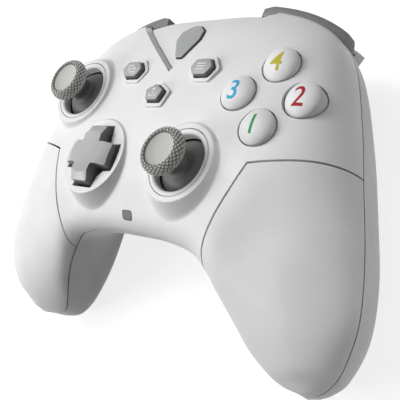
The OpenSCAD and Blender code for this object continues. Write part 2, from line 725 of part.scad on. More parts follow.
dpad_pivot_z = board_top + 9.5;
ball_r = 2.4;
ball_play = 0.1;
base_r = 8.5;
base_z = dpad_pivot_z - 3.2;
base_t = 1.4;
cross_z0 = dpad_pivot_z + 3.3;
cross_bevel = 2.3;
cross_flat_r = dpad_l / 2 - cross_bevel;
cross_fall = 1.1;
cross_dish = 0.4;
cross_dish_r = (cross_flat_r * cross_flat_r + cross_dish * cross_dish) / (2 * cross_dish);
stem_r = 4.6;
module dpad() {
    stem_z = dpad_pivot_z - 1.3;
    color("gray") translate([pad_place.x, pad_place.y, 0]) difference() {
        union() {
            intersection() {
                translate([0, 0, cross_z0]) drafted_cross(dpad_l, dpad_arm, dpad_z - cross_z0);
                rotate_extrude() polygon([[0, cross_z0], [dpad_l, cross_z0],
                    [dpad_l, dpad_z - cross_fall * (dpad_l - cross_flat_r) / cross_bevel],
                    [cross_flat_r, dpad_z], [0, dpad_z]]);
            }
            translate([0, 0, stem_z]) cylinder(h = cross_z0 - stem_z + eps, r = stem_r);
        }
        translate([0, 0, dpad_pivot_z]) sphere(r = ball_r + ball_play);
        translate([0, 0, dpad_pivot_z - 5]) cylinder(h = 5, r = ball_r + ball_play);
        translate([0, 0, dpad_z - cross_dish + cross_dish_r]) sphere(r = cross_dish_r, $fn = 96);
    }
}
module dpad_base() {
    color("black") translate([pad_place.x, pad_place.y, base_z]) difference() {
        union() {
            cylinder(h = base_t, r = base_r);
            for (a = [0:90:270]) rotate(a) translate([base_r - 2.4, 0, -1]) cylinder(h = 1 + eps, r = 1.6);
        }
        translate([0, 0, -2]) cylinder(h = 6, r = ball_r + 0.5);
    }
}
module dpad_post() {
    color("silver") translate([pad_place.x, pad_place.y, 0]) {
        translate([0, 0, dpad_pivot_z]) sphere(r = ball_r);
        translate([0, 0, board_top]) cylinder(h = dpad_pivot_z - board_top, r = 1.7);
    }
}
pad_t = 0.8;
module rubber_dome(p, top) {
    translate([p.x, p.y, board_top + pad_t - eps])
        cylinder(h = top - board_top - pad_t, r1 = 4.2, r2 = 3);
}
module dpad_pad() {
    color("darkgray") difference() {
        union() {
            translate([pad_place.x, pad_place.y, board_top]) cylinder(h = pad_t, r = base_r + 2);
            for (a = [0:90:270]) rubber_dome(pad_place + (base_r - 2.4) * [cos(a), sin(a)], base_z - 2);
        }
        translate([pad_place.x, pad_place.y, -body_d]) cylinder(h = body_d, r = 1.7 + 0.1);
    }
}
module button_pad() {
    flange_bottom = guide_bottom - flange_gap - flange_t;
    color("darkgray") {
        for (p = [south, east, west, north]) {
            translate([p.x, p.y, board_top]) cylinder(h = pad_t, r = cluster_r * 0.6);
            rubber_dome(p, flange_bottom - button_travel - 0.25);
        }
        translate([cluster.x, cluster.y, board_top]) cylinder(h = pad_t, r = cluster_r);
        for (b = small_buttons) translate([b[0].x, b[0].y, board_top])
            cylinder(h = 1.6 - menu_travel - 0.2, r = 3);
        translate([0, home_y, board_top]) cylinder(h = 1.6 - menu_travel - 0.2, r = 3);
    }
}

// Thumbsticks, drawn about their pivot

can_half = 6.2;
can_wall = 0.8;
can_top = 2.3;
axle_r = 1.25;
axle_half = 6.6;
lever_r = 1;
lever_top_r = 1.6;
skirt_r = 11;
skirt_t = 1.4;
skirt_angle = 72;
click_travel = 0.5;
pot_t = 1.5;
can_floor = board_top - pivot_z;
stick_rise = cap_z - pivot_z;

module stick_cap() {
    r = cap_d / 2;
    z = stick_rise;
    skirt_in = skirt_r - skirt_t;
    color("darkgray") rotate_extrude() polygon(concat(
        [[lever_top_r + screw_play, z - 2.4], [0, z - 2.4], [0, z - 1.3], [r * 0.4, z - 1.1],
            [r * 0.72, z - 0.45], [r * 0.82, z - 0.05], [r * 0.9, z - 0.15], [r * 0.97, z - 0.9],
            [r, z - 2.2], [r * 0.98, z - 3.5], [r * 0.9, z - 4.5], [r * 0.72, z - 5.1],
            [r * 0.58, z - 5.9], [r * 0.51, z - 7.2], [r * 0.52, z - 8.4], [r * 0.57, z - 9]],
        [for (a = [26:6.5714:skirt_angle + 1]) skirt_r * [sin(a), cos(a)]],
        [for (a = [skirt_angle:-8:16]) skirt_in * [sin(a), cos(a)]],
        [[lever_top_r + screw_play, skirt_in * cos(16)]]));
}
module stick_lever() {
    z = stick_rise - 2.6;
    color("silver") difference() {
        union() {
            translate([0, 0, -4]) cylinder(h = 0.7, r = 1.3);
            translate([0, 0, -3.8]) cylinder(h = 10, r = lever_r);
            translate([0, 0, 6]) cylinder(h = z - 6, r = lever_top_r);
        }
        for (k = [0, click_travel]) translate([0, 0, k]) rotate([0, 90, 0])
            cylinder(h = 4, r = 0.6 + pin_play, center = true);
        translate([-2, -0.6 - pin_play, 0]) cube([4, 1.2 + 2 * pin_play, click_travel]);
    }
}
module stick_pin() {
    color("silver") rotate([0, 90, 0]) cylinder(h = 4.9, r = 0.6, center = true);
}
module stick_rocker() {
    color("black") difference() {
        union() {
            rotate([90, 0, 0]) cylinder(h = 2 * axle_half, r = axle_r, center = true);
            translate([-2.6, -3.2, -2.1]) cube([5.2, 6.4, 3.5]);
        }
        translate([-lever_r - 0.2, -2.5, -5]) cube([2 * lever_r + 0.4, 5, 10]);
        rotate([0, 90, 0]) cylinder(h = 8, r = 0.6 + pin_play, center = true);
    }
}
module stick_arch() {
    bow = 4.7;
    color("dimgray") difference() {
        union() {
            rotate([0, 90, 0]) cylinder(h = 2 * axle_half, r = axle_r, center = true);
            rotate([90, 0, 0]) cylinder(h = 4.4, r = bow, center = true);
        }
        rotate([90, 0, 0]) cylinder(h = 8, r = bow - 1.1, center = true);
        translate([-bow + 1.1, -4, -2 * bow]) cube([2 * bow - 2.2, 8, 2 * bow]);
        for (x = [-1, 1]) translate([x * bow, 0, -bow - axle_r]) cube([2.6, 8, 2 * bow], center = true);
        translate([-3.1, -lever_r - 0.25, 0]) cube([6.2, 2 * lever_r + 0.5, 2 * bow]);
    }
}
module stick_housing() {
    inside = can_half - can_wall;
    color("silver") difference() {
        translate([-can_half, -can_half, can_floor]) cube([2 * can_half, 2 * can_half, can_top - can_floor]);
        translate([-inside, -inside, can_floor + 0.7]) cube([2 * inside, 2 * inside, 20]);
        rotate([0, 90, 0]) cylinder(h = 20, r = axle_r + pin_play, center = true);
        rotate([90, 0, 0]) cylinder(h = 20, r = axle_r + pin_play, center = true);
    }
}
module stick_sensor_pair() {
    for (a = [0, 90]) rotate(a) difference() {
        translate([can_half, -4, can_floor]) cube([pot_t, 8, 1 - can_floor]);
        rotate([0, 90, 0]) cylinder(h = axle_half + 0.2, r = axle_r + 0.2);
    }
}
module at_stick(p) { translate([p.x, p.y, pivot_z]) children(); }
module left_stick_cap() { at_stick(left_stick) stick_cap(); }
module left_stick_lever() { at_stick(left_stick) stick_lever(); }
module left_stick_pin() { at_stick(left_stick) stick_pin(); }
module left_stick_rocker() { at_stick(left_stick) stick_rocker(); }
module left_stick_arch() { at_stick(left_stick) stick_arch(); }
module left_stick_housing() { at_stick(left_stick) stick_housing(); }
module right_stick_cap() { at_stick(right_stick) stick_cap(); }
module right_stick_lever() { at_stick(right_stick) stick_lever(); }
module right_stick_pin() { at_stick(right_stick) stick_pin(); }
module right_stick_rocker() { at_stick(right_stick) stick_rocker(); }
module right_stick_arch() { at_stick(right_stick) stick_arch(); }
module right_stick_housing() { at_stick(right_stick) stick_housing(); }
module stick_sensors() {
    color("gray") for (p = [left_stick, right_stick]) at_stick(p) stick_sensor_pair();
}

// Shoulder

module right_bumper() {
    color("dimgray") difference() {
        union() {
            intersection() {
                edge_bar(bumper_from, bumper_to + 0.5, bumper_profile, 14, bumper_fall);
                translate([bumper_pivot.x, bumper_pivot.y, -body_d])
                    cylinder(h = 2 * body_d, r = bumper_reach);
            }
            translate([bumper_pivot.x, bumper_pivot.y, lug_z0]) cylinder(h = lug_z1 - lug_z0, r = lug_r);
            translate([bumper_pivot.x - 1.5, bumper_pivot.y, lug_z0])
                cube([3, bumper_inset - bumper_back + 1, lug_z1 - lug_z0]);
        }
        translate([bumper_pivot.x, bumper_pivot.y, -body_d])
            cylinder(h = 2 * body_d, r = bumper_pin_r + pin_play);
    }
}
module left_bumper() { mirror([1, 0, 0]) right_bumper(); }

module right_trigger() {
    color("dimgray") difference() {
        union() {
            at_trigger() trigger_sector(trigger_angle, trigger_profile);
            trigger_pin_place() cylinder(h = 2 * hub_half, r = hub_r, center = true);
        }
        trigger_pin_place() cylinder(h = 60, r = pin_d / 2 + pin_play, center = true);
        at_trigger() {
            for (y = [hub_half, spring_room - hub_half - trigger_arc_r]) translate([0, y, -body_d])
                cube([trigger_arc_r + trigger_pivot_n + hub_r + 0.3, trigger_arc_r, body_d]);
            translate([0, -trigger_arc_r * sin(trigger_angle / 2), trigger_slant_z])
                rotate([trigger_slant, 0, 0]) translate([0, -body_d, -body_d])
                    cube([2 * trigger_arc_r, body_d, 2 * body_d]);
        }
    }
}
module left_trigger() { mirror([1, 0, 0]) right_trigger(); }
module right_trigger_pin() {
    trigger_pin_place() cylinder(h = 2 * (cheek_half + cheek_t), r = pin_d / 2, center = true);
}
module trigger_pins() { color("silver") at_sides() right_trigger_pin(); }

// Torsion spring: one tube wound round the pin
spring_r = 2.2;
spring_wire = 0.6;
spring_turns = 3;
spring_room = 5;
spring_pitch = 1.2;
module right_trigger_spring() {
    per_turn = 10;
    sides = 6;
    rings = spring_turns * per_turn;
    start = hub_half - spring_room + 0.9;
    path = [for (k = [0:rings]) let (a = 360 * k / per_turn)
        [spring_r * cos(a), spring_r * sin(a), start + spring_pitch * k / per_turn]];
    points = [for (k = [0:rings], j = [0:sides - 1]) let (a = 360 * k / per_turn, b = 360 * j / sides)
        path[k] + spring_wire / 2 * [cos(a) * cos(b), sin(a) * cos(b), sin(b)]];
    faces = concat(
        [for (k = [0:rings - 1], j = [0:sides - 1]) let (a = k * sides + j, b = k * sides + (j + 1) % sides)
            each [[a, b + sides, b], [a, a + sides, b + sides]]],
        [for (j = [1:sides - 2]) [0, j, j + 1]],
        [for (j = [1:sides - 2]) [rings * sides, rings * sides + j + 1, rings * sides + j]]);
    color("silver") trigger_pin_place() polyhedron(points, faces, convexity = 6);
}
module left_trigger_spring() { mirror([1, 0, 0]) right_trigger_spring(); }

// Bracket under the board: two cheeks carry the trigger's pin, and an arm carries the bumper's pin
cheek_n = [-2.2, 2.1];
cheek_z0 = trigger_pivot_z - 1.9;
cheek_z1 = bumper_z0 - bumper_gap - 0.2;
plate_n = [-4.4, -1];
bracket_t = 1.5;
arm_z0 = bumper_z0 - bumper_gap - bracket_t - 0.2;
arm_r = 1.5;
arm_end_r = 0.7;
module right_shoulder_bracket() {
    r0 = trigger_arc_r + trigger_pivot_n;
    inner_cheek = edge_at(trigger_mid, trigger_pivot_n)
        + (cheek_half + cheek_t / 2) * [-trigger_out.y, trigger_out.x];
    color("slategray") difference() {
        union() {
            at_trigger() {
                for (y = [-cheek_half - cheek_t, cheek_half]) {
                    translate([r0 + cheek_n[0], y, cheek_z0])
                        cube([cheek_n[1] - cheek_n[0], cheek_t, cheek_z1 - cheek_z0]);
                    translate([r0 + plate_n[0], y, cheek_z1 - cheek_t])
                        cube([plate_n[1] - plate_n[0], cheek_t, board_bottom - cheek_z1 + cheek_t]);
                }
                translate([r0 + plate_n[0], -cheek_half - cheek_t, board_bottom - bracket_t])
                    cube([plate_n[1] - plate_n[0], 2 * (cheek_half + cheek_t), bracket_t]);
            }
            translate([0, 0, arm_z0]) linear_extrude(bracket_t) hull() {
                translate(bumper_pivot) circle(r = arm_r, $fn = 32);
                translate(inner_cheek) circle(r = arm_end_r, $fn = 32);
            }
            translate([bumper_pivot.x, bumper_pivot.y, arm_z0])
                cylinder(h = lug_z1 - arm_z0, r = bumper_pin_r);
        }
        trigger_pin_place() cylinder(h = 60, r = pin_d / 2 + screw_play, center = true);
    }
}
module left_shoulder_bracket() { mirror([1, 0, 0]) right_shoulder_bracket(); }

// Bumper switches on the edge of the board
switch_size = [5, 3, 3.4];
switch_at = 2.4;
module bumper_switches() {
    color("black") at_sides() translate(edge_at(switch_at, -bumper_back - bumper_room - 1.8))
        rotate(atan2(edge_out(switch_at).y, edge_out(switch_at).x) - 90)
            translate([-switch_size.x / 2, -switch_size.y / 2, board_top]) {
                cube(switch_size);
                translate([switch_size.x / 2, switch_size.y - eps, switch_size.z / 2]) rotate([-90, 0, 0])
                    cylinder(h = 0.7, r = 0.9);
            }
}

// Electronics

board_outline = [[0, 31.5], [30, 31.5], [39, 30], [45.5, 26.5], [50, 16], [51, 4], [47, -8],
    [36, -22], [24, -28.8], [0, -29.2]];
module main_board() {
    half = board_outline;
    color("darkgreen") difference() {
        translate([0, 0, board_bottom]) linear_extrude(board_t)
            polygon(concat(half, [for (k = [len(half) - 2:-1:1]) [-half[k].x, half[k].y]]));
        for (p = middle_screws) translate([p.x, p.y, -body_d])
            cylinder(h = body_d, r = screw_d / 2 + screw_play);
    }
}
module usb_socket() {
    color("silver") {
        difference() {
            translate([0, usb_front - usb_l / 2, usb_z]) rounded_slot(usb_w, usb_h, usb_l / 2);
            translate([0, usb_front, usb_z]) rounded_slot(usb_w - 0.7, usb_h - 0.7, usb_l - 1);
        }
        translate([-3, usb_front - usb_l - 5, usb_z + usb_h / 2 - 1]) cube([6, usb_l, 1]);
        translate([-3, usb_front - usb_l - 5, usb_z + usb_h / 2 - 1])
            cube([6, 4, board_bottom - usb_z - usb_h / 2 + 1]);
    }
}
module battery() {
    color("royalblue") translate([0, 1, board_bottom - battery_t])
        rounded([battery_l, battery_w], 3, battery_t);
}

// Rumble motors lie along Y in the root of each grip, with the weight towards the grip's tip
motor_place = [51.5 * stretch.x, -6 * stretch.y, -28.5 * stretch.z];
weight_t = 7;
shaft_r = 1;
module right_motor() {
    color("silver") translate(motor_place) rotate([90, 0, 0]) {
        cylinder(h = motor_l, r = motor_d / 2);
        translate([0, 0, motor_l - eps]) cylinder(h = 1, r = motor_d / 5);
        translate([0, 0, motor_l]) cylinder(h = weight_t + 3, r = shaft_r);
    }
}
module left_motor() { mirror([1, 0, 0]) right_motor(); }
module right_weight() {
    color("gray") translate(motor_place) rotate([90, 0, 0]) translate([0, 0, motor_l + 2]) difference() {
        union() {
            intersection() {
                cylinder(h = weight_t, r = weight_d / 2);
                translate([-weight_d, -weight_d, 0]) cube([2 * weight_d, weight_d, weight_t]);
            }
            cylinder(h = weight_t, r = shaft_r + 2);
        }
        translate([0, 0, -1]) cylinder(h = weight_t + 2, r = shaft_r + pin_play);
    }
}
module left_weight() { mirror([1, 0, 0]) right_weight(); }
cradle_t = 2;
module motor_cradle() {
    difference() {
        for (k = [0.2, 0.8])
            translate([motor_place.x - motor_d / 2, motor_place.y - motor_l * k - cradle_t / 2, -body_d])
                cube([motor_d, cradle_t, body_d + motor_place.z - 1]);
        translate(motor_place) rotate([90, 0, 0]) translate([0, 0, -1])
            cylinder(h = motor_l + 2, r = motor_d / 2 + screw_play);
    }
}
module screw(p, tip) {
    translate([p.x, p.y, seat_z(p) - screw_head_t]) {
        cylinder(h = screw_head_t, r = screw_head_r);
        cylinder(h = tip - seat_z(p) + screw_head_t, r = screw_d / 2);
    }
}
module shell_screws() {
    color("silver") {
        for (p = middle_screws) screw(p, board_top + 5);
        at_sides() for (p = grip_screws) screw(p, grip_post_z + 4);
    }
}

trigger_far_r = trigger_arc_r + max([for (p = trigger_profile) p.x]);
box_top_y = max(edge_at(bumper_from, bumper_proud).y,
    trigger_axis.y + trigger_far_r * sin(min(90, trigger_heading + trigger_angle / 2)));
frame_shift = [0, -(box_top_y + grip_tip.y * stretch.y) / 2, lift];
module placed() { translate(frame_shift) children(); }
placed() front_shell();
placed() rear_shell();
placed() left_grip_panel();
placed() right_grip_panel();
placed() top_panel();
placed() left_stick_ring();
placed() right_stick_ring();
placed() south_button();
placed() east_button();
placed() west_button();
placed() north_button();
placed() home_button();
placed() view_button();
placed() menu_button();
placed() share_button();
placed() status_light();
placed() dpad();
placed() dpad_base();
placed() dpad_post();
placed() button_pad();
placed() dpad_pad();
placed() left_stick_cap();
placed() left_stick_lever();
placed() left_stick_pin();
placed() left_stick_rocker();
placed() left_stick_arch();
placed() left_stick_housing();
placed() right_stick_cap();
placed() right_stick_lever();
placed() right_stick_pin();
placed() right_stick_rocker();
placed() right_stick_arch();
placed() right_stick_housing();
placed() stick_sensors();
placed() left_bumper();
placed() right_bumper();
placed() left_trigger();
placed() right_trigger();
placed() trigger_pins();
placed() left_trigger_spring();
placed() right_trigger_spring();
placed() left_shoulder_bracket();
placed() right_shoulder_bracket();
placed() bumper_switches();
placed() main_board();
placed() usb_socket();
placed() battery();
placed() left_motor();
placed() right_motor();
placed() left_weight();
placed() right_weight();
placed() shell_screws();
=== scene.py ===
# %% [markdown]
# # A white gamepad, dressed for the camera
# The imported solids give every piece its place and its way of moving. This lesson puts a finer skin
# over them. Pieces are measured in millimetres on the face, with x to the right, y towards the
# bumpers and z out of the face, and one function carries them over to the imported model's metres.

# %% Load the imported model
import math

import bmesh
import bpy
import numpy as np
from mathutils import Matrix, Vector
from mathutils.bvhtree import BVHTree


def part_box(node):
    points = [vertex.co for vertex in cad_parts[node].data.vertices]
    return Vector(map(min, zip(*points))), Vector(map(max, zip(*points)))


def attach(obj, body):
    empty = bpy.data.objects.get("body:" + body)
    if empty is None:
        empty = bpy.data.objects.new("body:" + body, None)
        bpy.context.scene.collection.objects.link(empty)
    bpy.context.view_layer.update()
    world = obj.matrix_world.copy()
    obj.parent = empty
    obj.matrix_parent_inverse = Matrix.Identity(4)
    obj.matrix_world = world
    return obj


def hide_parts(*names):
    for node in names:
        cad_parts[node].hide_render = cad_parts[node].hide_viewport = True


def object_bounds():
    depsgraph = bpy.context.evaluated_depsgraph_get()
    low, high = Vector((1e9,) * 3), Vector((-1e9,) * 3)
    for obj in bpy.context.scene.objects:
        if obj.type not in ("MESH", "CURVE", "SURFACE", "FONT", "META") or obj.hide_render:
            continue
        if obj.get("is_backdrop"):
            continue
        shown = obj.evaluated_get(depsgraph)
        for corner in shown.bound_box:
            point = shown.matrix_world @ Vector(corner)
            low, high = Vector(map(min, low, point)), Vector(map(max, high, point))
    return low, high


MM = 1000
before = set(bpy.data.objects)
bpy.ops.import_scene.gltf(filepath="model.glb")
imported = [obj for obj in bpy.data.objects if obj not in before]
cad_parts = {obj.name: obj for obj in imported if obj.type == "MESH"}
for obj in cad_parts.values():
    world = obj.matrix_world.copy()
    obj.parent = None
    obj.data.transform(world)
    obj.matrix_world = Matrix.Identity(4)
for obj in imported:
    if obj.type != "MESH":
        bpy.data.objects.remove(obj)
cad_low, cad_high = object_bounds()
print("CAD box, mm:", [round((b - a) * MM, 1) for a, b in zip(cad_low, cad_high)])

# %% Face frame
LEFT_STICK = (-37.6, 9.2)
COLLAR_Z = 0.4
ring_low, ring_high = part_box("left_stick_ring")
SHIFT = np.array([0, (ring_low.y + ring_high.y) * MM / 2 - LEFT_STICK[1], ring_high.z * MM - COLLAR_Z])


def metres(points):
    return (np.asarray(points, float) + SHIFT) / MM


print("Face frame moved by", SHIFT.round(2).tolist(), "mm")

# %% [markdown]
# ## Helpers for meshes
# Most pieces are closed solids made from points and faces. They could be modelled by hand with the
# mesh tools, but then no size could be changed later. Blender's boolean modifier with the manifold
# solver joins and cuts them, much as the CAD model does, and the result is kept as a plain mesh. A
# closed solid is the one thing this solver asks for, so every helper returns one.

# %% Solids from points
def solid(name, points, faces):
    """Mesh from points in millimetres, with its faces turned outwards."""
    mesh = bpy.data.meshes.new(name)
    mesh.from_pydata(metres(points).tolist(), [], faces)
    form = bmesh.new()
    form.from_mesh(mesh)
    bmesh.ops.recalc_face_normals(form, faces=form.faces)
    form.to_mesh(mesh)
    form.free()
    obj = bpy.data.objects.new(name, mesh)
    bpy.context.scene.collection.objects.link(obj)
    return obj


def frustum(name, low, z0, high, z1):
    """Solid between two outlines with as many corners."""
    n = len(low)
    points = [(x, y, z0) for x, y in low] + [(x, y, z1) for x, y in high]
    sides = [(k, (k + 1) % n, n + (k + 1) % n, n + k) for k in range(n)]
    return solid(name, points, sides + [tuple(range(n)), tuple(range(n, 2 * n))])


def prism(name, outline, z0, z1):
    return frustum(name, outline, z0, outline, z1)


def moved(outline, place):
    return [(x + place[0], y + place[1]) for x, y in outline]


def mirrored(outline):
    return [(-x, y) for x, y in outline]


# %% Swept and turned solids
ON_AXIS = 1e-6


def swept(name, loops):
    """Solid through closed loops with as many points, capped at both ends."""
    loops = np.asarray(loops, float)
    count, w = loops.shape[:2]
    faces = []
    for k in range(count - 1):
        for j in range(w):
            a, b = k * w + j, k * w + (j + 1) % w
            faces.append((a, b, b + w, a + w))
    faces += [tuple(range(w)), tuple(range((count - 1) * w, count * w))]
    return solid(name, loops.reshape(-1, 3), faces)


def revolve(name, profile, place, steps=96):
    """Solid from a profile of radius and height; points on the axis become poles."""
    points, rings = [], []
    for r, z in profile:
        if r < ON_AXIS:
            rings.append([len(points)] * steps)
            points.append((place[0], place[1], z))
            continue
        rings.append(list(range(len(points), len(points) + steps)))
        for k in range(steps):
            a = 2 * math.pi * k / steps
            points.append((place[0] + r * math.cos(a), place[1] + r * math.sin(a), z))
    pairs = list(zip(rings, rings[1:]))
    if profile[0][0] > ON_AXIS:
        pairs.append((rings[-1], rings[0]))
    faces = []
    for low, high in pairs:
        for k in range(steps):
            face = [low[k], low[(k + 1) % steps], high[(k + 1) % steps], high[k]]
            face = list(dict.fromkeys(face))
            if len(face) > 2:
                faces.append(tuple(face))
    return solid(name, points, faces)


def post(name, place, r, z0, z1, steps=96):
    return revolve(name, [(0, z0), (r, z0), (r, z1), (0, z1)], place, steps)


# %% Cutting, joining and bevelling
def settle(obj):
    """Keeps what the modifiers make as a plain mesh."""
    graph = bpy.context.evaluated_depsgraph_get()
    made = bpy.data.meshes.new_from_object(obj.evaluated_get(graph))
    obj.modifiers.clear()
    obj.data = made
    return obj


def combine(obj, tools, operation):
    """Cuts, joins or limits a solid by others, which are used up."""
    for tool in tools:
        step = obj.modifiers.new(operation.lower(), "BOOLEAN")
        step.operation = operation
        step.solver = "MANIFOLD"
        step.object = tool
    settle(obj)
    for tool in tools:
        bpy.data.objects.remove(tool)
    return obj


def bevel(obj, width, segments=3, angle=35):
    step = obj.modifiers.new("bevel", "BEVEL")
    step.width = width / MM
    step.segments = segments
    step.limit_method = "ANGLE"
    step.angle_limit = math.radians(angle)
    step.use_clamp_overlap = True
    return settle(obj)


# %% Dressing a piece
def dress(obj, material, body, slot, *nodes, sharp=32):
    """Gives a finished piece its material, its shading, its body and the nodes it stands for."""
    if material:
        obj.data.materials.clear()
        obj.data.materials.append(material)
    obj.data.shade_smooth()
    obj.data.set_sharp_from_angle(angle=math.radians(sharp))
    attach(obj, body)
    if nodes:
        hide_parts(*nodes)
    print(f"{obj.name}: {len(obj.data.polygons)} faces on {body}")
    return obj


def painted_light_by_slope(obj, steps):
    """Gives faces steeper than each limit a finish of their own: a darker or lighter copy of the piece's
    finish that paints shade or a highlight.
    """
    for _, material in steps:
        obj.data.materials.append(material)
    for face in obj.data.polygons:
        for k, (limit, _) in enumerate(steps):
            if abs(face.normal.z) < limit:
                face.material_index = k + 1
                break


# %% Outlines and curves
MOST_OF_EDGE = 0.45


def soft_corners(outline, reach, n=5):
    """Rounds each corner of a closed outline, starting this far from it."""
    made = []
    pts = np.asarray(outline, float)
    for k, p in enumerate(pts):
        ends = []
        for q in (pts[k - 1], pts[(k + 1) % len(pts)]):
            way = q - p
            far = np.linalg.norm(way)
            ends.append(p + way / far * min(reach, far * MOST_OF_EDGE))
        for t in np.linspace(0, 1, n):
            made.append(tuple((1 - t) ** 2 * ends[0] + 2 * t * (1 - t) * p + t * t * ends[1]))
    return made


def eased(a, b, c, d, t):
    """Point between b and c on the smooth curve through all four."""
    return 0.5 * (2 * b + (c - a) * t + (2 * a - 5 * b + 4 * c - d) * t ** 2
                  + (3 * b - a - 3 * c + d) * t ** 3)


def smooth_path(points, per=6):
    """Curve through points, straight at both ends."""
    p = np.asarray(points, float)
    p = np.vstack([2 * p[0] - p[1], p, 2 * p[-1] - p[-2]])
    made = []
    for k in range(1, len(p) - 2):
        for t in np.linspace(0, 1, per, endpoint=False):
            made.append(tuple(eased(*p[k - 1:k + 3], t)))
    made.append(tuple(p[-2]))
    return made


def smooth_max(a, b, k):
    """The larger of two heights, with a fillet where they cross."""
    near = np.clip(1 - np.abs(a - b) / k, 0, None)
    return np.maximum(a, b) + near ** 2 * k / 4


# %% [markdown]
# ## The horseshoe form
# The housing is one moulded horseshoe. It could be sculpted, or smoothed from a coarse cage, but the
# shells, the panels and the buttons have to share one surface. So it follows a rule: cuts run from
# its outer edge to its inner edge, from the middle of the top round to each grip's tip, and every
# cut is a superellipse in front and another one behind. The same rows shape the CAD solids; here
# they are sampled far more finely.

# %% Rows of the form
# Outer x, y, z; inner x, y, z; front and back crown; exponents front outer, inner, back outer, inner
STATIONS = np.array([
    [0, 43.5, -15, 0, -34, -12, 0.3, -32, 3.2, 2.1, 2.6, 2.2],
    [22, 43, -15.5, 11, -34.2, -12, -0.1, -32, 3.2, 2.1, 2.6, 2.2],
    [41.5, 38, -17, 19, -35.2, -12.5, -0.9, -34, 3.2, 2.1, 2.5, 2.2],
    [52.5, 28.5, -18.5, 25.5, -37, -13.5, -2, -38, 3.1, 2.1, 2.4, 2.3],
    [60.3, 9.5, -20, 30.1, -40.7, -16.5, -3.7, -44, 2.8, 2.2, 2.3, 2.4],
    [67, -9.9, -19.8, 34, -45.6, -19.8, -7.8, -47.8, 2.1, 2.2, 2.2, 2.4],
    [72.5, -28, -20.8, 37.7, -50.7, -24.3, -12, -50.1, 1.6, 2.1, 2.1, 2.3],
    [74.1, -43.1, -24.2, 41.5, -56.5, -30.2, -17.8, -50.2, 1.6, 2, 2, 2.2],
    [70.3, -54.5, -30, 46.1, -60.7, -35.5, -24.4, -48.5, 1.9, 2, 2, 2.1],
    [65.9, -59.7, -33.8, 50.8, -62.6, -36.8, -30, -45, 2, 2, 2, 2],
    [62.4, -62.3, -35.2, 55.9, -63.1, -36.5, -32.6, -41, 2, 2, 2, 2]])
OUTER, INNER = slice(0, 3), slice(3, 6)
FRONT_CROWN, BACK_CROWN = 6, 7
FRONT_POWER, BACK_POWER = 8, 10
X_COLUMNS = [0, 3]
TIP = np.array([59, -63.7, -36.7])
LAST = len(STATIONS) - 1
before = STATIONS[1] * np.where(np.isin(np.arange(STATIONS.shape[1]), X_COLUMNS), -1, 1)
ROWS_OF_FORM = np.vstack([before, STATIONS, 2 * STATIONS[-1] - STATIONS[-2]])


def station(s):
    """The row at s, with a smooth curve between the rows above."""
    far = np.abs(s)
    k = np.minimum(np.floor(far).astype(int), LAST - 1)
    t = (far - k)[:, None]
    row = eased(*(ROWS_OF_FORM[k + i] for i in range(4)), t)
    row[:, X_COLUMNS] *= np.where(s < 0, -1, 1)[:, None]
    return row


def level(ways):
    """Unit vectors along these, without their rise."""
    flat = ways * (1, 1, 0)
    return flat / np.linalg.norm(flat, axis=1)[:, None]


print(len(STATIONS), "rows, up to", STATIONS[:, 0].max(), "mm from the middle")

# %% Cuts through the form
SEAM = 0.2
LAG_FROM = 6
LAG = 0.75
EDGE_PULL = 0.3


def cut(s, off, n, front):
    """Points of the front or back half at each s, set in by off."""
    s = np.asarray(s, float)
    if off > 0:
        far = np.abs(s)
        s = np.sign(s) * np.where(far > LAG_FROM, LAG_FROM + (far - LAG_FROM) * LAG, far)
    row = station(s)
    along = level(row[:, OUTER] - row[:, INNER])
    outer = row[:, OUTER] - off * along
    inner = row[:, INNER] + off * along
    crown = row[:, FRONT_CROWN] - off if front else row[:, BACK_CROWN] + off
    rise = crown - (outer[:, 2] + inner[:, 2]) / 2
    t = np.linspace(0, 1, n + 1)
    c = np.cos(np.pi * ((1 - EDGE_PULL) * t + EDGE_PULL * (1 - np.cos(np.pi * t)) / 2))
    first = FRONT_POWER if front else BACK_POWER
    power = np.where(c >= 0, row[:, first][:, None], row[:, first + 1][:, None])
    high = np.clip(1 - np.abs(c) ** power, 0, None) ** (1 / power)
    points = (outer[:, None] * (1 + c)[:, None] + inner[:, None] * (1 - c)[:, None]) / 2
    drop = 0 if front else -SEAM
    points[:, :, 2] += rise[:, None] * high + drop * (1 - high)
    return points


print("Crown of the face at the middle:", cut([0], 0, 2, True)[0, 1].round(2).tolist())

# %% Shells of the form
PER_ROW = 10
AROUND = 112
AROUND_IN = 16
TIP_IN = np.array([-0.3, 1.6, 0])


def grid_faces(start, rows, w):
    made = []
    for k in range(rows):
        for j in range(w - 1):
            a = start + k * w + j
            made.append((a, a + 1, a + w + 1, a + w))
    return made


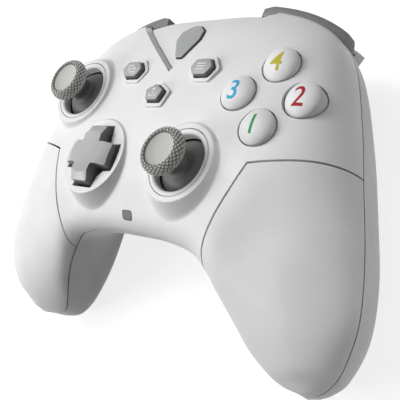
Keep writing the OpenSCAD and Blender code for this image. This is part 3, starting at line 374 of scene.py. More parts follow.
def skin(name, start, end, out, inside, front):
    """Closed shell between two offsets of one half of the form."""
    rows = round((end - start) * PER_ROW)
    s = np.linspace(start, end, rows + 1)
    w, v = AROUND + 1, AROUND_IN + 1
    base = (rows + 1) * w
    points = [*cut(s, out, AROUND, front).reshape(-1, 3)]
    points += [*cut(s, inside, AROUND_IN, front).reshape(-1, 3)]
    faces = grid_faces(0, rows, w) + grid_faces(base, rows, v)
    for k in range(rows):
        for a, b in ((k * w, base + k * v), (k * w + AROUND, base + k * v + AROUND_IN)):
            faces.append((a, a + w, b + v, b))
    for k, tip, side in ((0, start == -LAST, -1), (rows, end == LAST, 1)):
        a, b, many = k * w, base + k * v, AROUND // AROUND_IN
        if not tip:
            for i in range(AROUND_IN):
                faces.append((*range(a + i * many, a + (i + 1) * many + 1), b + i + 1, b + i))
            continue
        first = len(points)
        low = 0 if front else SEAM
        for off in (out, inside):
            x, y, z = TIP + off * TIP_IN
            points.append(np.array([side * x, y, z - low]))
        faces += [(a + j, a + j + 1, first) for j in range(AROUND)]
        faces += [(b + j, b + j + 1, first + 1) for j in range(AROUND_IN)]
        faces += [(a, b, first + 1, first), (a + AROUND, b + AROUND_IN, first + 1, first)]
    return solid(name, points, faces)


print("A skin of the whole form has", 2 * LAST * PER_ROW, "rows of", AROUND, "faces outside")

# %% Heights of the face and the back
ABOVE, BELOW = 60, -120
NO_HIT = -30.0


def surface(front):
    s = np.linspace(-LAST, LAST, 2 * LAST * PER_ROW + 1)
    points = cut(s, 0, AROUND, front)
    faces = grid_faces(0, len(s) - 1, AROUND + 1)
    return BVHTree.FromPolygons(points.reshape(-1, 3).tolist(), faces)


FACE = surface(True)
BACK = surface(False)


def height(form, x, y, start, way):
    hit = form.ray_cast(Vector((x, y, start)), Vector((0, 0, way)))[0]
    return hit.z if hit else NO_HIT


def face_z(x, y):
    return height(FACE, x, y, ABOVE, -1)


def back_z(x, y):
    return height(BACK, x, y, BELOW, 1)


print("Face at the middle:", round(face_z(0, 0), 2), "mm; back:", round(back_z(0, 0), 2), "mm")

# %% Bars along the edge
NEARBY = 0.01
BUMPER_FROM, BUMPER_TO = 0.95, 2.63
BUMPER_Z0, BUMPER_Z1 = -21.6, -9.4
BUMPER_FALL, SLOT_FALL, FALL_MOST = 0.56, 0.52, 1.2
BUMPER_THIN, BUMPER_LEAD, LEAD_LEAST = 0.5, 0.09, 0.1


def edge_frame(s):
    """Point on the outer edge and the level way out of it."""
    here = station(np.array([s]))[0, :2]
    ahead = station(np.array([s + NEARBY]))[0, :2] - station(np.array([s - NEARBY]))[0, :2]
    out = np.array([-ahead[1], ahead[0]])
    return here, out / np.linalg.norm(out)


def edge_at(s, n):
    here, out = edge_frame(s)
    return here + n * out


def bar(name, start, end, profile, steps, side, fall=BUMPER_FALL):
    """Profile of distance out of the edge and height, carried along the edge over a level foot."""
    loops = []
    for s in np.linspace(start, end, steps + 1):
        here, out = edge_frame(s)
        t = max(0, s - BUMPER_FROM) / (BUMPER_TO - BUMPER_FROM)
        high = 1 - fall * min(FALL_MOST, t * t)
        proud = BUMPER_THIN + (1 - BUMPER_THIN) * min(1, t * t)
        proud *= min(1, LEAD_LEAST + t / BUMPER_LEAD)
        loop = []
        for n, z in profile:
            x, y = here + (n * proud if n > 0 else n) * out
            loop.append((side * x, y, BUMPER_Z0 + (z - BUMPER_Z0) * high))
        loops.append(loop)
    return swept(name, loops)


print("A bumper starts at", edge_at(BUMPER_FROM, 0).round(1).tolist(), "mm on the edge")

# %% [markdown]
# ## Finishes
# Moulded plastic is never one flat colour: the mould leaves a fine grain, the tone drifts a little
# across the part, and hands polish it in places. Painted textures could show that, but they need
# files and blur up close. One node group makes the grain and another the drift, and each finish
# takes both with its own numbers.

# %% Node groups
GRAIN_CELLS, GRAIN_DETAIL = 2600, 2
DRIFT_CELLS, DRIFT_DETAIL = 90, 4
NOISE_FROM, NOISE_TO = 0.3, 0.7


def group(name, cells, detail, output):
    """Noise in the piece's own coordinates, with its size as a named input."""
    tree = bpy.data.node_groups.new(name, "ShaderNodeTree")
    size = tree.interface.new_socket("Cells per metre", in_out="INPUT", socket_type="NodeSocketFloat")
    size.default_value = cells
    tree.interface.new_socket(output, in_out="OUTPUT", socket_type="NodeSocketFloat")
    start = tree.nodes.new("NodeGroupInput")
    end = tree.nodes.new("NodeGroupOutput")
    place = tree.nodes.new("ShaderNodeTexCoord")
    noise = tree.nodes.new("ShaderNodeTexNoise")
    noise.inputs["Detail"].default_value = detail
    spread = tree.nodes.new("ShaderNodeMapRange")
    spread.inputs["From Min"].default_value = NOISE_FROM
    spread.inputs["From Max"].default_value = NOISE_TO
    tree.links.new(place.outputs["Object"], noise.inputs["Vector"])
    tree.links.new(start.outputs[0], noise.inputs["Scale"])
    tree.links.new(noise.outputs["Fac"], spread.inputs["Value"])
    tree.links.new(spread.outputs["Result"], end.inputs[0])
    return tree


GRAIN = group("Mould grain", GRAIN_CELLS, GRAIN_DETAIL, "Height")
DRIFT = group("Tone drift", DRIFT_CELLS, DRIFT_DETAIL, "Tone")
print("Node groups:", GRAIN.name, "and", DRIFT.name)

# %% A finish
COAT_ROUGH = 0.12
GRAIN_DEEP = 0.0001


def finish(name, colour, worn, rough, polish=0.06, grain=GRAIN_CELLS, bump=0.08, drift=DRIFT_CELLS,
           metal=0, coat=0, shine=0.5):
    """Plastic, rubber or metal: two close tones, a drifting gloss and a fine grain."""
    made = bpy.data.materials.new(name)
    made.use_nodes = True
    tree = made.node_tree
    shader = tree.nodes["Principled BSDF"]
    shader.inputs["Metallic"].default_value = metal
    shader.inputs["Specular IOR Level"].default_value = shine
    shader.inputs["Coat Weight"].default_value = coat
    shader.inputs["Coat Roughness"].default_value = COAT_ROUGH
    tone = tree.nodes.new("ShaderNodeGroup")
    tone.node_tree = DRIFT
    tone.inputs[0].default_value = drift
    mix = tree.nodes.new("ShaderNodeMix")
    mix.data_type = "RGBA"
    mix.inputs["A"].default_value = (*colour, 1)
    mix.inputs["B"].default_value = (*worn, 1)
    tree.links.new(tone.outputs[0], mix.inputs["Factor"])
    tree.links.new(mix.outputs["Result"], shader.inputs["Base Color"])
    gloss = tree.nodes.new("ShaderNodeMapRange")
    gloss.inputs["To Min"].default_value = rough - polish
    gloss.inputs["To Max"].default_value = rough + polish
    tree.links.new(tone.outputs[0], gloss.inputs["Value"])
    tree.links.new(gloss.outputs["Result"], shader.inputs["Roughness"])
    cells = tree.nodes.new("ShaderNodeGroup")
    cells.node_tree = GRAIN
    cells.inputs[0].default_value = grain
    bump_node = tree.nodes.new("ShaderNodeBump")
    bump_node.inputs["Strength"].default_value = bump
    bump_node.inputs["Distance"].default_value = GRAIN_DEEP
    tree.links.new(cells.outputs[0], bump_node.inputs["Height"])
    tree.links.new(bump_node.outputs["Normal"], shader.inputs["Normal"])
    print("Finish:", name)
    return made


# %% Finishes of this gamepad
WHITE = finish("white moulding", (0.80, 0.80, 0.805), (0.77, 0.77, 0.78), 0.46)
GRIP = finish("white grip", (0.80, 0.80, 0.805), (0.76, 0.76, 0.77), 0.52, grain=1500, bump=0.2)
BACK_WHITE = finish("white back", (0.76, 0.76, 0.77), (0.72, 0.72, 0.73), 0.52, grain=1500, bump=0.2)
GLOSS = finish("white gloss", (0.82, 0.82, 0.83), (0.80, 0.80, 0.81), 0.4, polish=0.03, bump=0.01, shine=0.3)
GREY = finish("grey button", (0.37, 0.375, 0.38), (0.34, 0.345, 0.35), 0.4)
PAD_GREY = finish("grey pad", (0.36, 0.36, 0.36), (0.33, 0.33, 0.33), 0.36)
# Painted shade: a darker white for the steep edge of the face buttons, where they turn from the light.
GLOSS_PAINTED_SHADE = finish("white button painted shade", (0.58, 0.58, 0.575), (0.54, 0.54, 0.535), 0.4)
# Painted shade: near black for the steep sides of the small grey caps and the home button.
GREY_PAINTED_SHADE = finish("grey button painted shade", (0.13, 0.13, 0.125), (0.11, 0.11, 0.105), 0.5)
# Painted highlight: a lighter grey for the pad's sloping cone and bevels.
PAD_PAINTED_HIGHLIGHT = finish("grey pad painted highlight", (0.54, 0.54, 0.52), (0.48, 0.48, 0.46), 0.34)
# Painted shade: a darker grey for the pad's steep sides.
PAD_PAINTED_SHADE = finish("grey pad painted shade", (0.17, 0.17, 0.165), (0.14, 0.14, 0.135), 0.45)
SHOULDER = finish("shoulder grey", (0.16, 0.16, 0.155), (0.14, 0.14, 0.135), 0.45)
DISC = finish("stick disc", (0.50, 0.51, 0.48), (0.46, 0.47, 0.44), 0.6, bump=0.05)
KNURL = finish("stick knurl", (0.52, 0.53, 0.50), (0.47, 0.48, 0.45), 0.62)
# Painted shade: near black for the stick's rim between the raised diamonds, where the grooves fall dark.
VALLEY_PAINTED_SHADE = finish("stick valley painted shade", (0.09, 0.09, 0.085), (0.08, 0.08, 0.075), 0.62)
NECK = finish("stick neck", (0.15, 0.15, 0.145), (0.13, 0.13, 0.125), 0.5)
SMOKED = finish("smoked light", (0.12, 0.12, 0.12), (0.10, 0.10, 0.10), 0.5, polish=0.05, bump=0.01)
PRINT = finish("white print", (0.78, 0.78, 0.78), (0.72, 0.72, 0.72), 0.5)
STEEL = finish("steel", (0.52, 0.52, 0.53), (0.44, 0.44, 0.45), 0.32, metal=1, grain=4000, bump=0.03)
print(len(bpy.data.materials), "materials so far")

# %% [markdown]
# ## Collars
# Each stick stands in a round collar that grows out of the face with a soft fillet, and so does the
# pad. A plain cone would meet the face in a hard line, and a bevel on that wandering line tends to
# tear. So the collar is a ring of points in which the face's height and the collar's slope are
# blended by a smooth maximum.

# %% Collar solid
SUNK = 0.02
IN_WALL = 1.2
TURNS = np.linspace(0, 2 * np.pi, 144, endpoint=False)
RIM_LEVEL, RIM_ROUND, RIM_SLOPE = 0.8, 0.6, 0.85
LEVEL_RINGS, ROUND_RINGS, SLOPE_RINGS = 4, 9, 24


def circle(place, r):
    return np.array(place) + r * np.column_stack([np.cos(TURNS), np.sin(TURNS)])


def collar(name, place, hole_r, rim_r, rim_z, slope, reach, fillet=1.0, edge=0.3):
    """Ring that is level inside its rim and then slopes softly into the face."""
    radii = np.concatenate([np.linspace(hole_r, rim_r - RIM_LEVEL, LEVEL_RINGS),
                            np.linspace(rim_r - RIM_ROUND, rim_r + RIM_ROUND, ROUND_RINGS),
                            np.linspace(rim_r + RIM_SLOPE, reach, SLOPE_RINGS)])
    rings = []
    for r in radii:
        lip = -smooth_max(-rim_z, -(rim_z - (r - rim_r) * slope), edge)
        xy = circle(place, r)
        low = np.array([face_z(x, y) for x, y in xy])
        rings.append(np.column_stack([xy, smooth_max(low - SUNK, lip, fillet)]))
    for r in (radii[-1], radii[0]):
        xy = circle(place, r)
        low = np.array([face_z(x, y) - IN_WALL for x, y in xy])
        rings.append(np.column_stack([xy, low]))
    w, count = len(TURNS), len(rings)
    faces = []
    for k in range(count):
        for j in range(w):
            a, b = k * w + j, k * w + (j + 1) % w
            c, d = (k + 1) % count * w + (j + 1) % w, (k + 1) % count * w + j
            faces.append((a, b, c, d))
    print(name, "with", count, "rings of", w, "points")
    return solid(name, np.vstack(rings), faces)


# %% [markdown]
# ## Front shell
# The face plate carries the collars, the pad's dish and the raised bezels of three small buttons,
# and is cut for everything that comes through it. The grips' panels and the V-shaped top panel are
# pieces of their own, so the plate is also cut along their seams. Lines drawn on a material would
# look flat from the side, so every seam is a real gap or groove.

# %% Seams of the grip panels
FAR = 160
THROUGH, PANEL_LOW = 60, -90
SEAM_LEG = [(30, -52), (30, -44), (31, -36.3), (34.2, -28), (37.8, -19.5), (40.5, -12.2)]
SEAM_TOP = [(41.6, -11.2), (47, -9.8), (61, -6.9), (76, -6.7)]
SEAM_CORNER = (40.8, -11.4)
ZONE_Y, ZONE_X = -6, 30


def panel_zone(name, gap, side):
    """Block over one grip's panel, set back from the seam by the gap."""
    path = [*smooth_path(SEAM_TOP)[::-1], SEAM_CORNER, *smooth_path(SEAM_LEG)[::-1]]
    outline = [(FAR, ZONE_Y), *path, (ZONE_X, -FAR), (FAR, -FAR)]
    outline = [(x + gap, y - gap) for x, y in outline]
    return prism(name, outline if side > 0 else mirrored(outline), PANEL_LOW, THROUGH)


print("A seam runs from", SEAM_LEG[0], "by", SEAM_CORNER, "to", SEAM_TOP[-1])

# %% The V on the face
V_CORNER = 17.3
V_ANGLE = math.radians(39)
V_DEEP, V_BAND = 1.8, 1.0
V_FROM, V_TO, V_CUTS = -1, 36, 60
V_BAND_SHAPE = ((-V_BAND, 0.05), (-V_BAND, 3), (0.4, 3), (0.4, -V_DEEP - 0.5))


def v_zone(gap):
    """Block over the top panel."""
    x, y = FAR * math.cos(V_ANGLE), FAR * math.sin(V_ANGLE)
    corner = (0, V_CORNER + gap / math.cos(V_ANGLE))
    return prism("v_zone", moved([(0, 0), (x, y), (-x, y)], corner), -THROUGH, THROUGH)


def v_band(side):
    """Wedge that slopes the edge of the V, following the face."""
    way = np.array([side * math.cos(V_ANGLE), math.sin(V_ANGLE)])
    across = np.array([-side * way[1], side * way[0]])
    loops = []
    for t in np.linspace(V_FROM, V_TO, V_CUTS):
        here = np.array([0, V_CORNER]) + t * way
        z = face_z(*here)
        loops.append([(*(here + n * across), z + h) for n, h in V_BAND_SHAPE])
    return swept("v_band", loops)


print("The V starts where the face is", round(face_z(0, V_CORNER), 2), "mm high")

# %% Grooves along the edges
LIP_H, LIP_HALF, LIP_END = 1.1, 0.14, 4.4
LIP_CUTS, LIP_SEARCH = 121, 30
GROOVE = [(0.6, 0.2), (0.6, -0.4), (-0.8, -0.4), (-0.8, 0.2)]
GROOVE_CUTS = 16


def lip_groove():
    """Thin groove along the arch, a little above its lower edge."""
    loops = []
    for row in cut(np.linspace(-LIP_END, LIP_END, LIP_CUTS), 0, AROUND, True):
        near = row[::-1][:LIP_SEARCH]
        rise = near[:, 2] - row[-1, 2]
        here = np.array([np.interp(LIP_H, rise, near[:, i]) for i in range(3)])
        way = (row[-1] - row[0]) * (1, 1, 0)
        way = LIP_HALF * way / np.linalg.norm(way)
        up = np.array([0, 0, LIP_HALF])
        loops.append([here + 2 * way - up, here + 2 * way + up, here - way + up, here - way - up])
    return swept("lip_groove", loops)


def seam_grooves():
    """Grooves along the outer and the inner edge, where the front and the back of the form meet."""
    row = station(np.linspace(-LAST, LAST, GROOVE_CUTS * LAST + 1))
    along = level(row[:, OUTER] - row[:, INNER])
    made = []
    for edge, sign in ((row[:, OUTER], 1), (row[:, INNER], -1)):
        loops = [[e + sign * n * way + (0, 0, z) for n, z in GROOVE] for e, way in zip(edge, along)]
        made.append(swept("seam_groove", loops))
    return made


# %% [markdown]
# ## Slots for the bumpers
# A bumper swings in a slot that both shells and the top panel share. The slot could be drawn by hand
# on each of them, but then it would drift away from the bumper. It is made by the same function as
# the bumper, a little larger, and ends on the circle that the bumper's far end sweeps, so that the
# gap stays even while it moves.

# %% Slots for the bumpers
BUMPER_GAP = 0.35
PIVOT_ALONG, PIVOT_IN = 0.12, -7
BUMPER_PIVOT = edge_at(BUMPER_FROM + PIVOT_ALONG, PIVOT_IN)
BUMPER_REACH = float(np.linalg.norm(edge_at(BUMPER_TO, 0) - BUMPER_PIVOT))
SLOT_BACK, SLOT_OUT = -6.2, 18
SLOT_BEFORE, SLOT_PAST, SLOT_CUTS = 0.02, 0.6, 48


def within_reach(obj, side, gap):
    """Ends a bar on the circle that the bumper's far end sweeps."""
    pivot = (side * BUMPER_PIVOT[0], BUMPER_PIVOT[1])
    return combine(obj, [post("reach", pivot, BUMPER_REACH + gap, -THROUGH, THROUGH)], "INTERSECT")


def bumper_slot(side):
    top, low = BUMPER_Z1 + BUMPER_GAP, BUMPER_Z0 - BUMPER_GAP
    profile = [(SLOT_BACK, top), (SLOT_OUT, top), (SLOT_OUT, low), (SLOT_BACK, low)]
    ends = (BUMPER_FROM - SLOT_BEFORE, BUMPER_TO + SLOT_PAST)
    return within_reach(bar("slot", *ends, profile, SLOT_CUTS, side, SLOT_FALL), side, BUMPER_GAP)


print("A bumper reaches", round(BUMPER_REACH, 1), "mm from its post")

# %% [markdown]
# ## Bezels, dish and bores
# View, menu and share stand in bezels that rise a little from the face, the pad lies in a shallow
# dish, and each stick comes up through a bore with a seat for its ring. The face could be drawn in
# with the inset tool, but its grid doesn't follow these outlines. Tapered blocks, the cap of a large
# ball and turned plugs are simple solids, and they cut or join cleanly.

# %% Small outlines on the face
VIEW, MENU, SHARE = (-15.1, 16.2), (15.1, 16.2), (0, 7.4)
BEZEL_RISE, BEZEL_SUNK = 0.7, 1.2
BEZEL_FOOT, BEZEL_TOP = (2.0, 1.2), (1.5, 1.0)


def hexagon(l, h):
    x = l / 2 - h / 3
    return [(l / 2, 0), (x, h / 2), (-x, h / 2), (-l / 2, 0), (-x, -h / 2), (x, -h / 2)]


def pentagon(l, h):
    foot, ear = 0.34 * l, h / 8
    return [(l / 2, ear), (0, h / 2), (-l / 2, ear), (-foot, -h / 2), (foot, -h / 2)]


SMALL = {"view_button": (VIEW, hexagon, 9, 5.6), "menu_button": (MENU, hexagon, 9, 5.6),
         "share_button": (SHARE, pentagon, 7.6, 5.8)}


def small_outline(name, grow, soft):
    place, shape, l, h = SMALL[name]
    return moved(soft_corners(shape(l + 2 * grow, h + 2 * grow), soft), place)


def bezel(name):
    z = face_z(*SMALL[name][0])
    low, high = small_outline(name, *BEZEL_FOOT), small_outline(name, *BEZEL_TOP)
    return frustum(name + "_bezel", low, z - BEZEL_SUNK, high, z + BEZEL_RISE)


print("Bezels for", ", ".join(SMALL))

# %% Dish and cross of the pad
PAD = (-17.7, -14.7)
PAD_COLLAR_R, PAD_COLLAR_Z = 12.9, 0.8
DISH_R, DISH_DEEP, DISH_T = 12.4, 1.2, 1.6
DISH_PAST, DISH_CUTS, OVER_DISH = 0.3, 24, 20
CROSS_L, CROSS_ARM, CROSS_DRAFT = 18.8, 7.4, 0.15
CROSS_HOLE, HOLE_SOFT, CROSS_CUT = (21.4, 9.2), 0.5, 20


def cross(l, w):
    arm = [(l / 2, -w / 2), (l / 2, w / 2), (w / 2, w / 2)]
    made = []
    for _ in range(4):
        made += arm
        arm = [(-y, x) for x, y in arm]
    return made


def dish():
    """Cap of a ball that hollows the pad's collar."""
    ball = (DISH_R ** 2 + DISH_DEEP ** 2) / (2 * DISH_DEEP)
    low, far = PAD_COLLAR_Z - DISH_DEEP, DISH_R + DISH_PAST
    curve = [(r, low + ball - math.sqrt(ball ** 2 - r * r)) for r in np.linspace(0, far, DISH_CUTS)]
    return revolve("dish", [*curve, (far, OVER_DISH), (0, OVER_DISH)], PAD)


def cross_hole():
    outline = moved(soft_corners(cross(*CROSS_HOLE), HOLE_SOFT), PAD)
    return prism("cross_hole", outline, -CROSS_CUT, CROSS_CUT)


print("Cross of", CROSS_L, "mm in a dish", DISH_DEEP, "mm deep")

# %% Bores, buttons and light
RIGHT_STICK = (19.1, -14.3)
STICKS = {"left_stick": LEFT_STICK, "right_stick": RIGHT_STICK}
RING_R, RING_T, RING_ROOM = 10.65, 3, 0.1
BORE_R, SEAT_R, SEAT_T = 11.55, 9.8, 1
BORE_LOW, BORE_HIGH = -25, 9
CLUSTER, CLUSTER_R = (40.4, 8.6), 9.9
BUTTON_R, BUTTON_GAP = 5.45, 0.35
BUTTON_WAYS = {"south_button": (0, -1), "east_button": (1, 0), "west_button": (-1, 0), "north_button": (0, 1)}
BUTTONS = {name: (CLUSTER[0] + x * CLUSTER_R, CLUSTER[1] + y * CLUSTER_R)
           for name, (x, y) in BUTTON_WAYS.items()}
LIGHT, LIGHT_Y = (4.0, 2.3), -30.3


def stick_bore(place):
    """Hole for a stick, with a seat for its ring insert."""
    r, z = RING_R + RING_ROOM, COLLAR_Z - RING_T
    return revolve("bore", [(0, BORE_LOW), (BORE_R, BORE_LOW), (BORE_R, z - SEAT_T), (SEAT_R, z - SEAT_T),
                            (SEAT_R, z), (r, z), (r, BORE_HIGH), (0, BORE_HIGH)], place)


def block(w, h):
    return [(w / 2, -h / 2), (w / 2, h / 2), (-w / 2, h / 2), (-w / 2, -h / 2)]


def light_outline(grow, soft):
    return moved(soft_corners(block(LIGHT[0] + grow, LIGHT[1] + grow), soft), (0, LIGHT_Y))


print("Buttons at", {name: tuple(round(c, 1) for c in place) for name, place in BUTTONS.items()})

# %% Make the front shell
WALL = 2.2
FACE_END = 5
PAD_ROOM_R = 11.6
HOLE_END = 40
LIGHT_ROOM, LIGHT_HOLE_SOFT = 0.3, 0.9
front = skin("front_shell_skin", -FACE_END, FACE_END, 0, WALL, True)
grown = [collar("collar", place, hole_r=9.0, rim_r=12.3, rim_z=COLLAR_Z, slope=1.8, reach=17.5)
         for place in STICKS.values()]
grown.append(collar("pad_collar", PAD, hole_r=8.0, rim_r=PAD_COLLAR_R, rim_z=PAD_COLLAR_Z, slope=2.4,
                    reach=17))
grown += [bezel(name) for name in SMALL]
combine(front, grown, "UNION")
holes = [stick_bore(LEFT_STICK), stick_bore(RIGHT_STICK), dish(), cross_hole()]
holes.append(post("pad_room", PAD, PAD_ROOM_R, BORE_LOW, PAD_COLLAR_Z - DISH_DEEP - DISH_T))
holes += [post("hole", p, BUTTON_R + BUTTON_GAP, -HOLE_END, HOLE_END) for p in BUTTONS.values()]
holes += [prism("hole", small_outline(name, BUTTON_GAP, HOLE_SOFT), -HOLE_END, HOLE_END) for name in SMALL]
holes.append(prism("hole", light_outline(LIGHT_ROOM, LIGHT_HOLE_SOFT), -HOLE_END, HOLE_END))
holes += [panel_zone("zone", 0, 1), panel_zone("zone", 0, -1), v_zone(0), bumper_slot(1), bumper_slot(-1)]
holes += [v_band(1), v_band(-1), lip_groove(), *seam_grooves()]
combine(front, holes, "DIFFERENCE")
dress(front, WHITE, "housing", "white_shell", "front_shell")

# %% [markdown]
# ## Grip panels and top panel
# The panels follow the same form, kept to their side of the seam and set back by the gap that shows
# as a thin dark line. The top panel lies a little lower, which is what draws the V on the face. Each
# is cut from a skin of its own, because cutting one skin in parts would leave walls with no gap.

# %% Make the grip panels
PANEL_GAP = 0.5
PANEL_FROM = 3
for side, name in ((1, "right_grip_panel"), (-1, "left_grip_panel")):
    ends = (PANEL_FROM, LAST) if side > 0 else (-LAST, -PANEL_FROM)
    panel = skin(name + "_skin", *ends, 0, WALL, True)
    combine(panel, [panel_zone("zone", PANEL_GAP, side)], "INTERSECT")
    combine(panel, seam_grooves(), "DIFFERENCE")
    dress(panel, GRIP, "housing", "white_grip", name)

# %% Make the top panel
HOME = (0, 28.5)
HOME_W, HOME_H, HOME_SOFT, HOME_GAP = 5.0, 6.8, 0.9, 0.45
HOME_SHAPE = [(0.26, 1), (0.94, 0.62), (1, 0.08), (0.28, -0.95)]
TOP_END, TOP_GAP = 2, 0.25


def home_outline(grow):
    w, h = HOME_W + grow, HOME_H + grow
    half = [(x * w, y * h) for x, y in HOME_SHAPE]
    return soft_corners(moved(half + mirrored(half)[::-1], HOME), HOME_SOFT)


top = skin("top_panel_skin", -TOP_END, TOP_END, V_DEEP, V_DEEP + WALL, True)
combine(top, [v_zone(TOP_GAP)], "INTERSECT")
home_hole = prism("hole", home_outline(HOME_GAP), -HOLE_END, HOLE_END)
combine(top, [bumper_slot(1), bumper_slot(-1), home_hole], "DIFFERENCE")
dress(top, WHITE, "housing", "white_shell", "top_panel")

# %% [markdown]
# ## Rear shell
# The back is the other half of the form, with a flat land in the middle, deep screw wells, two slots
# for the triggers and the charging inlet. The land could be a box joined to the back, but a moulded
# one flares into the shell, so it is a grid of points that blends the two heights.

# %% Land on the back
LAND, LAND_MID_Y, LAND_Z, LAND_R = (46, 34), 2, -35.5, 7
LAND_XS, LAND_YS = np.linspace(-42, 42, 85), np.linspace(-25, 30, 56)
FLARE_SOFT, LAND_SOFT = 4, 3


def land():
    low, high = [], []
    for x in LAND_XS:
        for y in LAND_YS:
            d = np.array([abs(x) - LAND[0] / 2 + LAND_R, abs(y - LAND_MID_Y) - LAND[1] / 2 + LAND_R])
            away = np.linalg.norm(np.clip(d, 0, None)) + min(d.max(), 0) - LAND_R
            z = back_z(x, y)
            flare = smooth_max(LAND_Z, LAND_Z + away, FLARE_SOFT)
            low.append((x, y, -smooth_max(-(z + SUNK), -flare, LAND_SOFT)))
            high.append((x, y, z + IN_WALL))
    long, w, n = len(LAND_XS), len(LAND_YS), len(low)
    faces = grid_faces(0, long - 1, w) + grid_faces(n, long - 1, w)
    rim = [k * w for k in range(long)] + [(long - 1) * w + k for k in range(1, w)]
    rim += [k * w + w - 1 for k in range(long - 2, -1, -1)] + list(range(w - 2, 0, -1))
    faces += [(rim[k - 1], rim[k], rim[k] + n, rim[k - 1] + n) for k in range(len(rim))]
    return solid("land", low + high, faces)


print("Land of", LAND, "mm, at", LAND_Z, "mm")

# %% Slots for the triggers
ARC_R = 35
TRIGGER_MID = 1.85
HEADING = math.atan2(*edge_frame(TRIGGER_MID)[1][::-1])
ARC_AXIS = edge_at(TRIGGER_MID, -ARC_R)
SLOT_ANGLE, SLOT_STEPS = 41.64, 32
SLOT_SHAPE = [(-9.4, BUMPER_Z0), (12, BUMPER_Z0), (12, -53), (-9.4, -53)]


def sector(name, degrees, profile, steps, side):
    """Profile of distance out of the arc and height, turned about an upright axis."""
    loops = []
    for a in HEADING + np.radians(np.linspace(-degrees / 2, degrees / 2, steps + 1)):
        loop = []
        for n, z in profile:
            r = ARC_R + n
            loop.append((side * (ARC_AXIS[0] + r * math.cos(a)), ARC_AXIS[1] + r * math.sin(a), z))
        loops.append(loop)
    return swept(name, loops)


def trigger_slot(side):
    return sector("slot", SLOT_ANGLE, SLOT_SHAPE, SLOT_STEPS, side)


print("Triggers head", round(math.degrees(HEADING), 1), "degrees from the right")

# %% Screw wells and inlet
SCREWS = [(-27, 25), (27, 25), (0, -21.5), (64, -26), (-64, -26), (48, -47), (-48, -47)]
SCREW_SEAT = 5
WELL_R, WELL_WALL_R, SHANK_R, ROOM_R = 2.9, 4, 1.3, 3.4
WELL_LOW, WELL_HIGH, ROOM_HIGH, WELL_STEPS = -9, 7, 6, 64
USB_Y, USB_Z = 42.7, -20
INLET, INLET_REACH, INLET_SOFT, INLET_STEPS = (10.2, 4.4), 12, 0.45, 8


def well(place):
    """Tube from the back down to the seat of a screw's head."""
    z = back_z(*place)
    profile = [(WELL_R, z + WELL_LOW), (WELL_WALL_R, z + WELL_LOW), (WELL_WALL_R, z + WELL_HIGH),
               (SHANK_R, z + WELL_HIGH), (SHANK_R, z + SCREW_SEAT), (WELL_R, z + SCREW_SEAT)]
    return revolve("well", profile, place, WELL_STEPS)


def well_room(place):
    z = back_z(*place)
    return post("room", place, ROOM_R, z + WELL_LOW, z + ROOM_HIGH, WELL_STEPS)


def inlet():
    outline = soft_corners(block(*INLET), INLET[1] * INLET_SOFT, INLET_STEPS)
    ends = (USB_Y - INLET_REACH, USB_Y + INLET_REACH)
    return swept("inlet", [[(x, y, USB_Z + z) for x, z in outline] for y in ends])


print(len(SCREWS), "screws, seated", SCREW_SEAT, "mm under the back")

# %% Make the rear shell
WITHIN, WITHIN_DEEP = 0.05, 14
rear = skin("rear_shell_skin", -LAST, LAST, 0, WALL, False)
combine(rear, [land()], "UNION")
holes = [bumper_slot(1), bumper_slot(-1), trigger_slot(1), trigger_slot(-1), inlet()]
combine(rear, holes + seam_grooves(), "DIFFERENCE")
wells = [well(place) for place in SCREWS]
combine(rear, [well_room(place) for place in SCREWS], "DIFFERENCE")
for tube in wells:
    combine(tube, [skin("within", -LAST, LAST, WITHIN, WITHIN_DEEP, False)], "INTERSECT")
    combine(rear, [tube], "UNION")
dress(rear, BACK_WHITE, "housing", "white_back", "rear_shell")

# %% [markdown]
# ## Ring inserts
# A separate ring lies in each collar and guides the stick. Its inner lip is rounded so that the
# stick's neck doesn't wear a groove into it. A ring is the plainest turned piece: one profile and one
# turn, so no modifier is needed.

# %% Make the rings
RING_HOLE_R, RING_LIP, RING_EDGE, RING_STEPS = 8.9, 0.9, 0.12, 128
LIP_TURNS = np.linspace(0, math.pi / 2, 9)
for stick_name, place in STICKS.items():
    r, z = RING_HOLE_R, COLLAR_Z
    lip = [(r + RING_LIP - RING_LIP * math.sin(a), z - RING_LIP + RING_LIP * math.cos(a)) for a in LIP_TURNS]
    outer = RING_R - RING_EDGE
    profile = [(outer, z - RING_T), (outer, z - RING_EDGE), (outer - RING_EDGE, z), *lip, (r, z - RING_T)]
    ring = revolve(stick_name + "_ring_lip", profile, place, RING_STEPS)
    dress(ring, WHITE, "housing", "white_shell", stick_name + "_ring")

# %% [markdown]
# ## Face buttons
# Four glossy domes with a printed figure under the gloss. A figure could be a picture laid over the
# dome, but a picture is a file and has an edge. Here it is made as text, turned into a mesh, cut into
# small faces and laid on the dome, so that it keeps to the curve.

# %% Dome
BUTTON_RISE = 2.6
DOME_FALL, DOME_FLAT = 2.6, 0.96


def dome_z(r, top):
    return top - DOME_FALL * (1 - math.sqrt(max(0.0, 1 - DOME_FLAT * (r / BUTTON_R) ** 2)))


print("A dome falls", round(-dome_z(BUTTON_R, 0), 2), "mm to its edge")

# %% Figures
FIGURE_SIZE, FIGURE_FAT = 8.4, 0.06
SAME_POINT = 1e-4
INK_RISE, INK_SUNK = 0.03, -0.3
INK_EDGE, INK_ROUNDS = 0.7, 5


def figure_mesh(name, text):
    """Thick text as a mesh."""
    curve = bpy.data.curves.new(name, "FONT")
    curve.body = text
    curve.size = FIGURE_SIZE
    curve.align_x, curve.align_y = "CENTER", "CENTER"
    curve.extrude = 1
    curve.offset = FIGURE_FAT
    text_obj = bpy.data.objects.new(name, curve)
    bpy.context.scene.collection.objects.link(text_obj)
    graph = bpy.context.evaluated_depsgraph_get()
    mesh = bpy.data.meshes.new_from_object(text_obj.evaluated_get(graph))
    bpy.data.objects.remove(text_obj)
    return mesh


